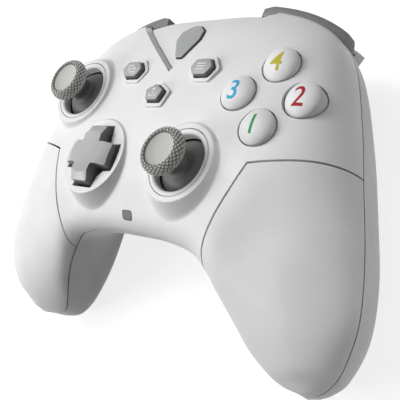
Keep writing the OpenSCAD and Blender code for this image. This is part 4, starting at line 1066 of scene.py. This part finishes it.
def figure(name, text, place, top, material, body):
    """Figure with its front just over the dome and its back just under it."""
    mesh = figure_mesh(name, text)
    form = bmesh.new()
    form.from_mesh(mesh)
    bmesh.ops.remove_doubles(form, verts=form.verts, dist=SAME_POINT)
    bmesh.ops.triangulate(form, faces=form.faces)
    middle = [(min(v.co[i] for v in form.verts) + max(v.co[i] for v in form.verts)) / 2 for i in (0, 1)]
    for _ in range(INK_ROUNDS):
        long = [e for e in form.edges if e.calc_length() > INK_EDGE and e.verts[0].co.z * e.verts[1].co.z > 0]
        if not long:
            break
        bmesh.ops.subdivide_edges(form, edges=long, cuts=1)
        bmesh.ops.triangulate(form, faces=form.faces)
    for v in form.verts:
        x, y = v.co.x - middle[0], v.co.y - middle[1]
        z = dome_z(math.hypot(x, y), top) + (INK_RISE if v.co.z > 0 else INK_SUNK)
        v.co = metres((place[0] + x, place[1] + y, z))
    bmesh.ops.recalc_face_normals(form, faces=form.faces)
    form.to_mesh(mesh)
    form.free()
    obj = bpy.data.objects.new(name, mesh)
    bpy.context.scene.collection.objects.link(obj)
    return dress(obj, material, body, "white_gloss")


# %% Make the face buttons
FIGURES = {"south_button": ("1", (0.05, 0.38, 0.12)), "east_button": ("2", (0.42, 0.03, 0.04)),
           "west_button": ("3", (0.05, 0.42, 0.68)), "north_button": ("4", (0.56, 0.50, 0.05))}
INK_FADE = 0.92
FLANGE_Z = -10.3
WALL_SLOPE = 0.3
DOME_RADII = BUTTON_R * np.sin(np.linspace(0, math.pi / 2, 22))
for name, place in BUTTONS.items():
    top_z = face_z(*place) + BUTTON_RISE
    curve = [(r, dome_z(r, top_z)) for r in DOME_RADII]
    button = revolve(name + "_dome", [(0, FLANGE_Z), (BUTTON_R, FLANGE_Z), *curve[::-1]], place)
    dress(button, GLOSS, name, "white_gloss", name, sharp=50)
    # The steep edge of the dome gets the darker white, painted shade.
    painted_light_by_slope(button, [(WALL_SLOPE, GLOSS_PAINTED_SHADE)])
    text, colour = FIGURES[name]
    ink = finish("figure " + text, colour, tuple(INK_FADE * c for c in colour), 0.5, bump=0.01, shine=0.1)
    figure(name + "_figure", text, place, top_z, ink, name)

# %% [markdown]
# ## Small buttons and their signs
# View, menu and share are grey caps with a small bevel; their steep sides get a near black grey as painted
# shade.
# Their signs are plain shapes: two squares, three bars, and an arrow out of a tray. Each sign is a thin
# solid sunk into the cap, which casts no edge and never flickers as two faces at one height would.

# %% Signs
SIGN_SUNK, SIGN_RISE = 0.2, 0.04
SQUARE_T = 0.32
BAR_HALF, BAR_T = 1.6, 0.17


def rect(x0, y0, x1, y1):
    return [(x0, y0), (x1, y0), (x1, y1), (x0, y1)]


def frame_of_bars(x0, y0, x1, y1):
    t = SQUARE_T
    return [rect(x0, y0, x1, y0 + t), rect(x0, y1 - t, x1, y1),
            rect(x0, y0 + t, x0 + t, y1 - t), rect(x1 - t, y0 + t, x1, y1 - t)]


TRAY = [rect(-1.5, -1.6, 1.5, -1.3), rect(-1.5, -1.3, -1.2, -0.5), rect(1.2, -1.3, 1.5, -0.5)]
ARROW = [rect(-0.16, -0.9, 0.16, 0.6), [(-0.75, 0.5), (0.75, 0.5), (0, 1.35)]]
SIGNS = {"view_button": frame_of_bars(-1.7, -0.4, 0.5, 1.4) + frame_of_bars(-0.6, -1.4, 1.7, 0.4),
         "menu_button": [rect(-BAR_HALF, y - BAR_T, BAR_HALF, y + BAR_T) for y in (-0.95, 0, 0.95)],
         "share_button": TRAY + ARROW}


def sign(name, outlines, place, z):
    points, faces = [], []
    for outline in outlines:
        n, first = len(outline), len(points)
        for h in (z - SIGN_SUNK, z + SIGN_RISE):
            points += [(place[0] + x, place[1] + y, h) for x, y in outline]
        faces += [(first + k, first + (k + 1) % n, first + n + (k + 1) % n, first + n + k) for k in range(n)]
        faces += [tuple(range(first, first + n)), tuple(range(first + n, first + 2 * n))]
    return solid(name, points, faces)


print("Shapes in each sign:", {name: len(shapes) for name, shapes in SIGNS.items()})

# %% Make the small buttons
SMALL_RISE, CAP_DEEP, CAP_SOFT, CAP_DRAFT, CAP_BEVEL = 1.6, 6, 0.7, -0.1, 0.5
for name, (place, *_) in SMALL.items():
    z = face_z(*place) + BEZEL_RISE + SMALL_RISE
    low, high = small_outline(name, 0, CAP_SOFT), small_outline(name, CAP_DRAFT, CAP_SOFT)
    cap = frustum(name + "_cap", low, z - CAP_DEEP, high, z)
    bevel(cap, CAP_BEVEL)
    dress(cap, GREY, name, "grey_button", name)
    # Steep sides get the near black grey, painted shade.
    painted_light_by_slope(cap, [(WALL_SLOPE, GREY_PAINTED_SHADE)])
    dress(sign(name + "_sign", SIGNS[name], place, z), PRINT, name, "grey_button")

# %% [markdown]
# ## Home button and status light
# Both lie close to the form and follow its curve. A flat cap would stick out at one end, so each is
# an outline cut out of a thick layer of the form itself: a little proud of the top panel for the
# button, and flush with the face for the smoked lens of the light.

# %% Make the home button and the light
LAYER_END = 1
HOME_LOW, HOME_HIGH, HOME_DEEP = -14, 20, 12
HOME_RISE, HOME_BEVEL = 0.7, 0.35
LIGHT_LOW, LIGHT_DEEP, LIGHT_SOFT, LIGHT_BEVEL = -11, 6, 0.8, 0.12
home = prism("home_button_cap", home_outline(0), HOME_LOW, HOME_HIGH)
combine(home, [skin("under", -LAYER_END, LAYER_END, V_DEEP - HOME_RISE, HOME_DEEP, True)], "INTERSECT")
bevel(home, HOME_BEVEL, angle=50)
dress(home, GREY, "home_button", "grey_button", "home_button")
# Steep sides get the near black grey, painted shade.
painted_light_by_slope(home, [(WALL_SLOPE, GREY_PAINTED_SHADE)])

light = prism("status_light_lens", light_outline(0, LIGHT_SOFT), LIGHT_LOW, 0)
combine(light, [skin("under", -LAYER_END, LAYER_END, 0, LIGHT_DEEP, True)], "INTERSECT")
bevel(light, LIGHT_BEVEL, segments=2, angle=60)
dress(light, SMOKED, "housing", "smoked_light", "status_light")

# %% [markdown]
# ## Directional pad
# The cross has a slightly hollow round top, a cone that falls away to the arm ends, and steep sides;
# the cone is painted a lighter grey as a highlight and the sides a darker grey as shade. Bevels on a
# plain cross would give four straight slopes. Cutting a turned blank with the outline of a cross gives
# the round slope of the real one.

# %% Make the pad
CROSS_TOP, CROSS_LOW, CROSS_BEVEL, CROSS_FALL, CROSS_HOLLOW = 4.1, -3.2, 2.3, 1.1, 0.4
CROSS_SOFT, CROSS_STEPS, CROSS_EDGE = 0.6, 160, 0.4
BLANK_UNDER, BLANK_OVER = 0.01, 0.5
HOLLOW_RADII = (5.6, 5, 4, 3, 2, 1)
EDGE_SLOPE = 0.97
flat_r = CROSS_L / 2 - CROSS_BEVEL
low_z = CROSS_TOP - CROSS_FALL * (CROSS_L - flat_r) / CROSS_BEVEL
blank = [(0, CROSS_LOW), (CROSS_L, CROSS_LOW), (CROSS_L, low_z), (flat_r, CROSS_TOP)]
blank += [(r, CROSS_TOP - CROSS_HOLLOW * (1 - (r / flat_r) ** 2)) for r in HOLLOW_RADII]
pad = revolve("dpad_cross", [*blank, (0, CROSS_TOP - CROSS_HOLLOW)], PAD, CROSS_STEPS)
foot = cross(CROSS_L + 2 * CROSS_DRAFT, CROSS_ARM + 2 * CROSS_DRAFT)
foot = moved(soft_corners(foot, CROSS_SOFT), PAD)
head = moved(soft_corners(cross(CROSS_L, CROSS_ARM), CROSS_SOFT), PAD)
sides = frustum("outline", foot, CROSS_LOW - BLANK_UNDER, head, CROSS_TOP + BLANK_OVER)
combine(pad, [sides], "INTERSECT")
bevel(pad, CROSS_EDGE, segments=2, angle=40)
dress(pad, PAD_GREY, "dpad", "grey_pad", "dpad", sharp=24)
# Steep sides get the darker grey as painted shade, the cone and bevels the lighter grey as a painted
# highlight.
painted_light_by_slope(pad, ((WALL_SLOPE, PAD_PAINTED_SHADE), (EDGE_SLOPE, PAD_PAINTED_HIGHLIGHT)))

# %% [markdown]
# ## Thumbsticks
# A stick is turned: a hollowed disc for the thumb, a rounded rim, a slim neck and a dome that closes
# the collar from below. The rim's raised diamonds could be a bump in the material, but then its
# outline would stay smooth. They repeat in rings, which is work for Geometry Nodes: a grid of points
# is wrapped round the rim and a blunt four-sided pyramid is set on each point.

# %% Turned cap
STICK_PIVOT = -10
STICK_RISE, STICK_STEPS = 19.2, 128
DISC_SHAPE = [(0, -1.25), (1.2, -1.22), (2.4, -1.1), (3.6, -0.86), (4.5, -0.6), (4.95, -0.42)]
NECK_SHAPE = [(5.2, -5.0), (4.2, -5.9), (3.7, -7.2), (3.77, -8.4), (4.3, -9.2)]
RIM_R, RIM_DOWN, RIM_W, RIM_H = 5.72, 2.0, 1.38, 1.85
RIM_TURNS = np.radians(np.linspace(-24, 150, 26))
DOME_R, DOME_TURNS = 11, np.radians(np.linspace(27, 72, 22))
UNDER_R, UNDER_TURNS = 9.6, np.radians(np.linspace(72, 12, 16))
DISC_R, DISC_DOWN, VALLEY_DOWN = 5.0, 2, 3.7


def rim_point(turn):
    return RIM_R + RIM_W * math.sin(turn), STICK_RISE - RIM_DOWN + RIM_H * math.cos(turn)


def stick(name, place, body, node):
    z = STICK_RISE
    disc = [(r, z + h) for r, h in DISC_SHAPE]
    rim = [rim_point(a) for a in RIM_TURNS]
    neck = smooth_path([rim[-1], *((r, z + h) for r, h in NECK_SHAPE)], per=4)[1:]
    dome = [(DOME_R * math.sin(a), DOME_R * math.cos(a)) for a in DOME_TURNS]
    under = [(UNDER_R * math.sin(a), UNDER_R * math.cos(a)) for a in UNDER_TURNS]
    profile = [*disc, *rim, *neck, *dome, *under, (0, under[-1][1])]
    obj = revolve(name + "_turned", [(r, h + STICK_PIVOT) for r, h in profile], place, STICK_STEPS)
    for material in (DISC, VALLEY_PAINTED_SHADE, NECK):
        obj.data.materials.append(material)
    base = (SHIFT[2] + STICK_PIVOT) / MM
    for face in obj.data.polygons:
        x, y, h = face.center
        r = math.hypot(x * MM - SHIFT[0] - place[0], y * MM - SHIFT[1] - place[1])
        h = (h - base) * MM
        on_disc = h > z - DISC_DOWN and r < DISC_R
        # The rim under the diamonds gets the near black, painted shade in the grooves between them.
        face.material_index = 0 if on_disc else 1 if h > z - VALLEY_DOWN else 2
    return dress(obj, None, body, "stick_rubber", node, sharp=50)


# %% Helpers for nodes
def node(tree, kind, **values):
    made = tree.nodes.new(kind)
    for key, value in values.items():
        setattr(made, key, value)
    return made


def feed(tree, made, values):
    """Links or sets a node's first inputs and returns its first output."""
    for socket, value in zip(made.inputs, values):
        if isinstance(value, (int, float)):
            socket.default_value = value
        else:
            tree.links.new(value, socket)
    return made.outputs[0]


def math_node(tree, operation, *values):
    return feed(tree, node(tree, "ShaderNodeMath", operation=operation), values)


def vector_node(tree, *values):
    return feed(tree, node(tree, "ShaderNodeCombineXYZ"), values)


# %% Helpers for trees
def new_tree(name, inputs):
    tree = bpy.data.node_groups.new(name, "GeometryNodeTree")
    for key, kind in inputs.items():
        tree.interface.new_socket(key, in_out="INPUT", socket_type=kind)
    tree.interface.new_socket("Geometry", in_out="OUTPUT", socket_type="NodeSocketGeometry")
    print("Tree", name, "with", len(inputs), "inputs")
    return tree, node(tree, "NodeGroupInput").outputs


def end_tree(tree, many, material):
    """Makes the instances real, gives them their material and puts them out."""
    real = node(tree, "GeometryNodeRealizeInstances")
    tree.links.new(many.outputs[0], real.inputs[0])
    paint = node(tree, "GeometryNodeSetMaterial")
    tree.links.new(real.outputs[0], paint.inputs["Geometry"])
    tree.links.new(material, paint.inputs["Material"])
    tree.links.new(paint.outputs[0], node(tree, "NodeGroupOutput").inputs[0])
    return tree


def grown_from(name, mesh, tree, values):
    """Runs a tree on a mesh with these inputs and keeps the result as a plain mesh."""
    obj = bpy.data.objects.new(name, mesh)
    bpy.context.scene.collection.objects.link(obj)
    step = obj.modifiers.new("nodes", "NODES")
    step.node_group = tree
    for item in tree.interface.items_tree:
        if item.in_out == "INPUT" and item.name in values:
            step[item.identifier] = values[item.name]
    return settle(obj)


# %% [markdown]
# ## A tree for the diamonds
# The tree spreads a grid of points, turns each point's place on the grid into two angles, and finds
# from these the place, the rotation and the size of a diamond on the rim. Set Position moves the
# points, and a field that is read after it would see the new places. Capture Attribute keeps the old
# ones.

# %% Grid and angles
def grid_of_points(tree, given):
    """Points that remember where on the grid they stood."""
    grid = node(tree, "GeometryNodeMeshGrid")
    for key in ("Size X", "Size Y"):
        grid.inputs[key].default_value = 1
    tree.links.new(given["Diamonds round"], grid.inputs["Vertices X"])
    tree.links.new(given["Rings"], grid.inputs["Vertices Y"])
    keep = node(tree, "GeometryNodeCaptureAttribute")
    keep.capture_items.new("VECTOR", "Place on grid")
    tree.links.new(grid.outputs["Mesh"], keep.inputs["Geometry"])
    tree.links.new(node(tree, "GeometryNodeInputPosition").outputs[0], keep.inputs["Place on grid"])
    here = node(tree, "ShaderNodeSeparateXYZ")
    tree.links.new(keep.outputs["Place on grid"], here.inputs[0])
    return keep.outputs["Geometry"], here.outputs[0], here.outputs[1]


def rim_angles(given, calc, x, y):
    """Angle round the stick, angle over the rim and the step from ring to ring.

    Every second ring is turned by half a diamond.
    """
    u, v = calc("ADD", x, 0.5), calc("ADD", y, 0.5)
    k = calc("MULTIPLY", u, calc("SUBTRACT", given["Diamonds round"], 1))
    steps = calc("SUBTRACT", given["Rings"], 1)
    shift = calc("MULTIPLY", calc("MODULO", calc("ROUND", calc("MULTIPLY", v, steps)), 2), 0.5)
    round_by = calc("MULTIPLY", calc("ADD", k, shift), 2 * math.pi)
    round_by = calc("DIVIDE", round_by, given["Diamonds round"])
    span = calc("SUBTRACT", given["Last turn"], given["First turn"])
    turn = calc("ADD", given["First turn"], calc("MULTIPLY", v, span))
    return round_by, turn, calc("DIVIDE", span, steps)


# %% Place, rotation and size on the rim
def rim_place(tree, given, calc, r, ca, sa, ct):
    spot = vector_node(tree, calc("MULTIPLY", r, ca), calc("MULTIPLY", r, sa),
                       calc("MULTIPLY", given["Rim height"], ct))
    place = node(tree, "ShaderNodeVectorMath", operation="ADD")
    tree.links.new(spot, place.inputs[0])
    tree.links.new(given["Centre"], place.inputs[1])
    return place.outputs[0]


def rim_rotation(tree, given, calc, ca, sa, ct, st):
    """Stands a diamond on the rim, with one diagonal running round it."""
    flat, up = calc("DIVIDE", st, given["Rim width"]), calc("DIVIDE", ct, given["Rim height"])
    normal = vector_node(tree, calc("MULTIPLY", flat, ca), calc("MULTIPLY", flat, sa), up)
    stand = node(tree, "FunctionNodeAlignRotationToVector", axis="Z")
    tree.links.new(normal, stand.inputs["Vector"])
    turned = node(tree, "FunctionNodeAlignRotationToVector", axis="X", pivot_axis="Z")
    tree.links.new(stand.outputs[0], turned.inputs["Rotation"])
    tree.links.new(vector_node(tree, calc("MULTIPLY", sa, -1), ca, 0), turned.inputs["Vector"])
    return turned.outputs[0]


def rim_size(tree, given, calc, r, ct, st, step):
    """As wide and as long as the diamond's cell on the rim."""
    wide = calc("DIVIDE", calc("MULTIPLY", r, math.pi), given["Diamonds round"])
    across = calc("POWER", calc("MULTIPLY", given["Rim width"], ct), 2)
    down = calc("POWER", calc("MULTIPLY", given["Rim height"], st), 2)
    long = calc("MULTIPLY", step, calc("SQRT", calc("ADD", across, down)))
    return vector_node(tree, wide, long, given["Height"])


# %% Tree that sets diamonds on a rim
FLOAT = "NodeSocketFloat"
KNURL_INPUTS = {"Centre": "NodeSocketVector", "Diamonds round": "NodeSocketInt", "Rings": "NodeSocketInt",
                "Rim radius": FLOAT, "Rim width": FLOAT, "Rim height": FLOAT, "First turn": FLOAT,
                "Last turn": FLOAT, "Height": FLOAT, "Top share": FLOAT, "Material": "NodeSocketMaterial"}


def knurl_tree():
    tree, given = new_tree("Diamond rim", KNURL_INPUTS)

    def calc(operation, *values):
        return math_node(tree, operation, *values)

    points, x, y = grid_of_points(tree, given)
    round_by, turn, step = rim_angles(given, calc, x, y)
    ca, sa = calc("COSINE", round_by), calc("SINE", round_by)
    ct, st = calc("COSINE", turn), calc("SINE", turn)
    r = calc("ADD", given["Rim radius"], calc("MULTIPLY", given["Rim width"], st))
    put = node(tree, "GeometryNodeSetPosition")
    tree.links.new(points, put.inputs["Geometry"])
    tree.links.new(rim_place(tree, given, calc, r, ca, sa, ct), put.inputs["Position"])
    pyramid = node(tree, "GeometryNodeMeshCone")
    for key, value in (("Vertices", 4), ("Radius Bottom", 1), ("Depth", 1)):
        pyramid.inputs[key].default_value = value
    tree.links.new(given["Top share"], pyramid.inputs["Radius Top"])
    many = node(tree, "GeometryNodeInstanceOnPoints")
    tree.links.new(put.outputs[0], many.inputs["Points"])
    tree.links.new(pyramid.outputs["Mesh"], many.inputs["Instance"])
    tree.links.new(rim_rotation(tree, given, calc, ca, sa, ct, st), many.inputs["Rotation"])
    tree.links.new(rim_size(tree, given, calc, r, ct, st, step), many.inputs["Scale"])
    return end_tree(tree, many, given["Material"])


DIAMOND_RIM = knurl_tree()

# %% Make the sticks
DIAMOND_SUNK, DIAMOND_H, DIAMOND_TOP = 0.3, 0.56, 0.66
DIAMONDS, DIAMOND_RINGS = 27, 8
FIRST_TURN, LAST_TURN = math.radians(-4), math.radians(138)
for body, place in STICKS.items():
    stick(body + "_cap", place, body, body + "_cap")
    centre = metres((*place, STICK_PIVOT + STICK_RISE - RIM_DOWN))
    knurl = grown_from(body + "_knurl", bpy.data.meshes.new("rim"), DIAMOND_RIM, {
        "Centre": tuple(centre), "Diamonds round": DIAMONDS, "Rings": DIAMOND_RINGS,
        "Rim radius": RIM_R / MM, "Rim width": (RIM_W - DIAMOND_SUNK) / MM,
        "Rim height": (RIM_H - DIAMOND_SUNK) / MM, "First turn": FIRST_TURN, "Last turn": LAST_TURN,
        "Height": DIAMOND_H / MM, "Top share": DIAMOND_TOP, "Material": KNURL})
    dress(knurl, None, body, "stick_rubber", sharp=20)

# %% [markdown]
# ## Bumpers and triggers
# Both follow the shoulder's curve. A curve object with a bevel could carry a profile along it, but it
# can't lower the profile on the way. So a bumper is a list of loops along the edge, cut by the circle
# that its far end sweeps, and a trigger is a hooked profile turned about an upright axis, with its
# outer lower corner cut off at a slant.

# %% Bumper and trigger shapes
BUMPER_SHAPE = [(-3, BUMPER_Z1), (0.1, BUMPER_Z1), (2.4, BUMPER_Z1 - 0.2), (3.1, BUMPER_Z1 - 1.6),
                (3.1, BUMPER_Z0 + 2.4), (0.6, BUMPER_Z0), (-3, BUMPER_Z0)]
TRIGGER_SHAPE = [(0.5, -22.8), (1.4, -24.4), (2, -27), (2.2, -29.6), (2.4, -32), (3, -34.4), (3.4, -35.8),
                 (3.2, -36.6), (2.4, -36.8), (1.4, -35.8), (0.4, -33.8), (-0.2, -31.8), (-1, -30.4),
                 (-2.4, -29.4), (-5, -28.6), (-8.4, -28.4), (-8.4, -22.8)]
TRIGGER_ANGLE, SLANT_Z, SLANT_SIDE = 37.4, -27, 15


def slant(side):
    """Block beyond the slanted lower corner at the trigger's outer end."""
    far = math.radians(TRIGGER_ANGLE / 2)
    out = np.array([math.cos(HEADING), math.sin(HEADING)])
    inward = np.array([-out[1], out[0]])
    loops = []
    for r in (0, 2 * ARC_R):
        here = np.array(ARC_AXIS) + r * out - ARC_R * math.sin(far) * inward
        loop = []
        for n, z in ((-1, 1), (1, -1), (-1, -1)):
            x, y = here + n * SLANT_SIDE * inward
            loop.append((side * x, y, SLANT_Z + z * SLANT_SIDE))
        loops.append(loop)
    return swept("slant", loops)


print("A trigger is", round(-min(z for _, z in TRIGGER_SHAPE), 1), "mm deep under the face")

# %% Make the bumpers and triggers
BUMPER_PAST, BUMPER_CUTS, BUMPER_BEVEL = 0.5, 64, 0.4
TRIGGER_STEPS, TRIGGER_BEVEL = 40, 0.7
BUMPER_LOOP = soft_corners(BUMPER_SHAPE, reach=0.8, n=6)
TRIGGER_LOOP = soft_corners(TRIGGER_SHAPE, reach=0.6, n=3)
for side, word in ((1, "right"), (-1, "left")):
    ends = (BUMPER_FROM, BUMPER_TO + BUMPER_PAST)
    bumper = within_reach(bar(word + "_bumper_bar", *ends, BUMPER_LOOP, BUMPER_CUTS, side), side, 0)
    bevel(bumper, BUMPER_BEVEL, angle=60)
    dress(bumper, SHOULDER, word + "_bumper", "dark_grey", word + "_bumper")
    trigger = sector(word + "_trigger_hook", TRIGGER_ANGLE, TRIGGER_LOOP, TRIGGER_STEPS, side)
    combine(trigger, [slant(side)], "DIFFERENCE")
    bevel(trigger, TRIGGER_BEVEL, angle=60)
    dress(trigger, BACK_WHITE, word + "_trigger", "white_back", word + "_trigger")

# %% [markdown]
# ## Screws
# Seven screws hold the shells together. They are one screw, repeated. Seven copies made by hand would
# have to be changed seven times, so a tree sets a head with a six-sided socket on each of seven
# points.

# %% Tree that sets screws on points
SCREW_INPUTS = {"Points": "NodeSocketGeometry", "Head radius": FLOAT, "Head height": FLOAT,
                "Socket radius": FLOAT, "Material": "NodeSocketMaterial"}
HEAD_CORNERS, SOCKET_CORNERS = 40, 6
HEAD_TAPER, SOCKET_DEEP = 0.84, 1.3


def screw_tree():
    tree, given = new_tree("Screws on points", SCREW_INPUTS)
    link = tree.links.new
    head = node(tree, "GeometryNodeMeshCone")
    head.inputs["Vertices"].default_value = HEAD_CORNERS
    link(given["Head radius"], head.inputs["Radius Top"])
    link(math_node(tree, "MULTIPLY", given["Head radius"], HEAD_TAPER), head.inputs["Radius Bottom"])
    link(given["Head height"], head.inputs["Depth"])
    key = node(tree, "GeometryNodeMeshCylinder")
    key.inputs["Vertices"].default_value = SOCKET_CORNERS
    link(given["Socket radius"], key.inputs["Radius"])
    link(math_node(tree, "MULTIPLY", given["Head height"], SOCKET_DEEP), key.inputs["Depth"])
    carve = node(tree, "GeometryNodeMeshBoolean", operation="DIFFERENCE")
    link(head.outputs["Mesh"], carve.inputs["Mesh 1"])
    link(key.outputs["Mesh"], carve.inputs["Mesh 2"])
    many = node(tree, "GeometryNodeInstanceOnPoints")
    link(given["Points"], many.inputs["Points"])
    link(carve.outputs["Mesh"], many.inputs["Instance"])
    return end_tree(tree, many, given["Material"])


SCREW_HEADS = screw_tree()

# %% Make the screws
HEAD_R, HEAD_T, SOCKET_R = 2.5, 1.8, 1.2
seats = bpy.data.meshes.new("screw_seats")
seats.from_pydata(metres([(*p, back_z(*p) + SCREW_SEAT - HEAD_T) for p in SCREWS]).tolist(), [], [])
heads = grown_from("screw_heads", seats, SCREW_HEADS, {
    "Head radius": HEAD_R / MM, "Head height": HEAD_T / MM, "Socket radius": SOCKET_R / MM,
    "Material": STEEL})
dress(heads, None, "housing", "steel", "shell_screws")

# %% [markdown]
# ## Pieces inside
# What the shells hide keeps its CAD shape, which is already right. It still gets the finish of the
# real thing: fibreglass board, blue film on the cell, pressed steel and soft silicone.

# %% Finish the inner nodes
BOARD = finish("board", (0.02, 0.11, 0.05), (0.015, 0.08, 0.04), 0.35, grain=900, coat=0.3)
FILM = finish("battery film", (0.04, 0.10, 0.30), (0.03, 0.08, 0.25), 0.3, grain=300, bump=0.15)
SILICONE = finish("silicone pad", (0.30, 0.30, 0.30), (0.26, 0.26, 0.26), 0.7)
INNER_PLASTIC = finish("inner plastic", (0.05, 0.05, 0.055), (0.035, 0.035, 0.04), 0.5)
INSIDE = {"main_board": BOARD, "battery": FILM, "button_pad": SILICONE, "dpad_pad": SILICONE}
METAL = ("pin", "lever", "housing", "spring", "post", "motor", "weight", "socket")
for name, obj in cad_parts.items():
    if obj.hide_render:
        continue
    made = INSIDE.get(name) or (STEEL if any(word in name for word in METAL) else INNER_PLASTIC)
    obj.data.materials.clear()
    obj.data.materials.append(made)
    print(name, "->", made.name)

# %% [markdown]
# ## Camera and light
# The picture was taken from the right and from above, close enough for the near grip to look large.
# Broad soft lamps stand high, the strongest on the left, so faces that look right or down fall off to
# grey. A small lamp lies low on the right and lights only the outer flank. One strong lamp would be
# simpler, but its hard shadows would hide the seams.

# %% Camera
CAMERA_AT = (161.295, -70.113, 135.385)
CAMERA_RIGHT = (0.73518, 0.33417, -0.5898)
CAMERA_DOWN = (0.09529, -0.91237, -0.398)
CAMERA_AHEAD = (-0.6712, 0.2364, -0.70261)
CAMERA_LENS, CAMERA_SENSOR, CAMERA_NEAR = 64.94, 36, 0.01
camera = bpy.data.cameras.new("camera")
camera.lens = CAMERA_LENS
camera.sensor_width = CAMERA_SENSOR
camera.clip_start = CAMERA_NEAR
camera_obj = bpy.data.objects.new("camera", camera)
axes = Matrix((CAMERA_RIGHT, [-c for c in CAMERA_DOWN], [-c for c in CAMERA_AHEAD])).transposed()
camera_obj.matrix_world = Matrix.Translation(metres(CAMERA_AT)) @ axes.to_4x4()
bpy.context.scene.collection.objects.link(camera_obj)
bpy.context.scene.camera = camera_obj
bpy.context.scene.view_settings.view_transform = "Standard"
print("Camera at", metres(CAMERA_AT).round(3).tolist(), "m")

# %% Lamps
LAMP_AIM = Vector((0, 0, 0.03))


def lamp(name, way, far, size, power):
    data = bpy.data.lights.new(name, "AREA")
    data.shape = "DISK"
    data.size = size
    data.energy = power
    obj = bpy.data.objects.new(name, data)
    way = Vector(way).normalized()
    obj.location = way * far + LAMP_AIM
    obj.rotation_euler = way.to_track_quat("Z", "Y").to_euler()
    bpy.context.scene.collection.objects.link(obj)
    print("Lamp", name, "of", power, "W")


lamp("left", (-0.55, 0.12, 0.83), far=0.9, size=0.5, power=4.6)
lamp("middle", (-0.2, 0.25, 0.95), far=0.9, size=0.5, power=1.6)
lamp("right", (0.3, 0.2, 0.93), far=0.9, size=0.5, power=0.5)
lamp("front", (-0.62, -0.55, 0.56), far=0.9, size=0.5, power=3.2)
lamp("rim", (0.98, 0.1, -0.03), far=0.7, size=0.03, power=1.0)

# %% [markdown]
# ## Room and paper
# The ground is plain white, yet white light from all sides would wash out the grey flanks. So the
# room and the paper are bright only where the camera sees them, and give the gamepad little light.
# A white layer added after the render would do it too, but it would hide the shadow. Here the Light
# Path node tells which kind of ray asks, and mixes two shaders by it.

# %% Room
AMBIENT = 0.02


def seen_directly(tree):
    """1 for what the camera, a gloss or a clear piece sees, 0 for light that bounces."""
    path = tree.nodes.new("ShaderNodeLightPath")
    total = path.outputs["Is Camera Ray"]
    for name in ("Is Glossy Ray", "Is Transmission Ray"):
        most = tree.nodes.new("ShaderNodeMath")
        most.operation = "MAXIMUM"
        tree.links.new(total, most.inputs[0])
        tree.links.new(path.outputs[name], most.inputs[1])
        total = most.outputs[0]
    return total


def split_by_sight(tree, bounced, seen, output):
    """Lets one shader light the scene and another be looked at."""
    mix = tree.nodes.new("ShaderNodeMixShader")
    tree.links.new(seen_directly(tree), mix.inputs[0])
    tree.links.new(bounced.outputs[0], mix.inputs[1])
    tree.links.new(seen.outputs[0], mix.inputs[2])
    tree.links.new(mix.outputs[0], tree.nodes[output].inputs["Surface"])


world = bpy.data.worlds.new("studio")
bpy.context.scene.world = world
world.use_nodes = True
room = world.node_tree.nodes["Background"]
room.inputs["Color"].default_value = (1, 1, 1, 1)
room.inputs["Strength"].default_value = AMBIENT
white = world.node_tree.nodes.new("ShaderNodeBackground")
white.inputs["Color"].default_value = (1, 1, 1, 1)
split_by_sight(world.node_tree, room, white, "World Output")
print("Room light:", AMBIENT)

# %% Floor
FLOOR_HALF, FLOOR_GAP = 3000, 0.1
PAPER_TONE, PAPER_ROUGH, PAPER_GLOW = 0.4, 0.9, 0.8
sheet = rect(-FLOOR_HALF, -FLOOR_HALF, FLOOR_HALF, FLOOR_HALF)
corners = metres([(x, y, -SHIFT[2] - FLOOR_GAP) for x, y in sheet])
floor_mesh = bpy.data.meshes.new("floor")
floor_mesh.from_pydata(corners.tolist(), [], [(0, 1, 2, 3)])
floor = bpy.data.objects.new("floor", floor_mesh)
bpy.context.scene.collection.objects.link(floor)
paper = bpy.data.materials.new("white paper")
paper.use_nodes = True
tree = paper.node_tree
shader = tree.nodes["Principled BSDF"]
shader.inputs["Base Color"].default_value = (PAPER_TONE, PAPER_TONE, PAPER_TONE, 1)
shader.inputs["Roughness"].default_value = PAPER_ROUGH
shader.inputs["Specular IOR Level"].default_value = 0.0
glow = tree.nodes.new("ShaderNodeEmission")
glow.inputs["Strength"].default_value = PAPER_GLOW
both = tree.nodes.new("ShaderNodeAddShader")
tree.links.new(shader.outputs[0], both.inputs[0])
tree.links.new(glow.outputs[0], both.inputs[1])
split_by_sight(tree, shader, both, "Material Output")
floor_mesh.materials.append(paper)
floor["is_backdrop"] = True
print("Floor", FLOOR_GAP, "mm under the lowest solid")

# %% [markdown]
# ## Sizes
# The dressed gamepad has to be as large as the imported one. Both boxes could be read off in the
# viewport; here both are gathered side by side, and the size of the dressed one is printed.

# %% Sizes and the end
low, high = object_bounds()
{"cad": [list(cad_low), list(cad_high)], "visual": [list(low), list(high)]}
print("Visual box, mm:", [round((b - a) * MM, 1) for a, b in zip(low, high)])
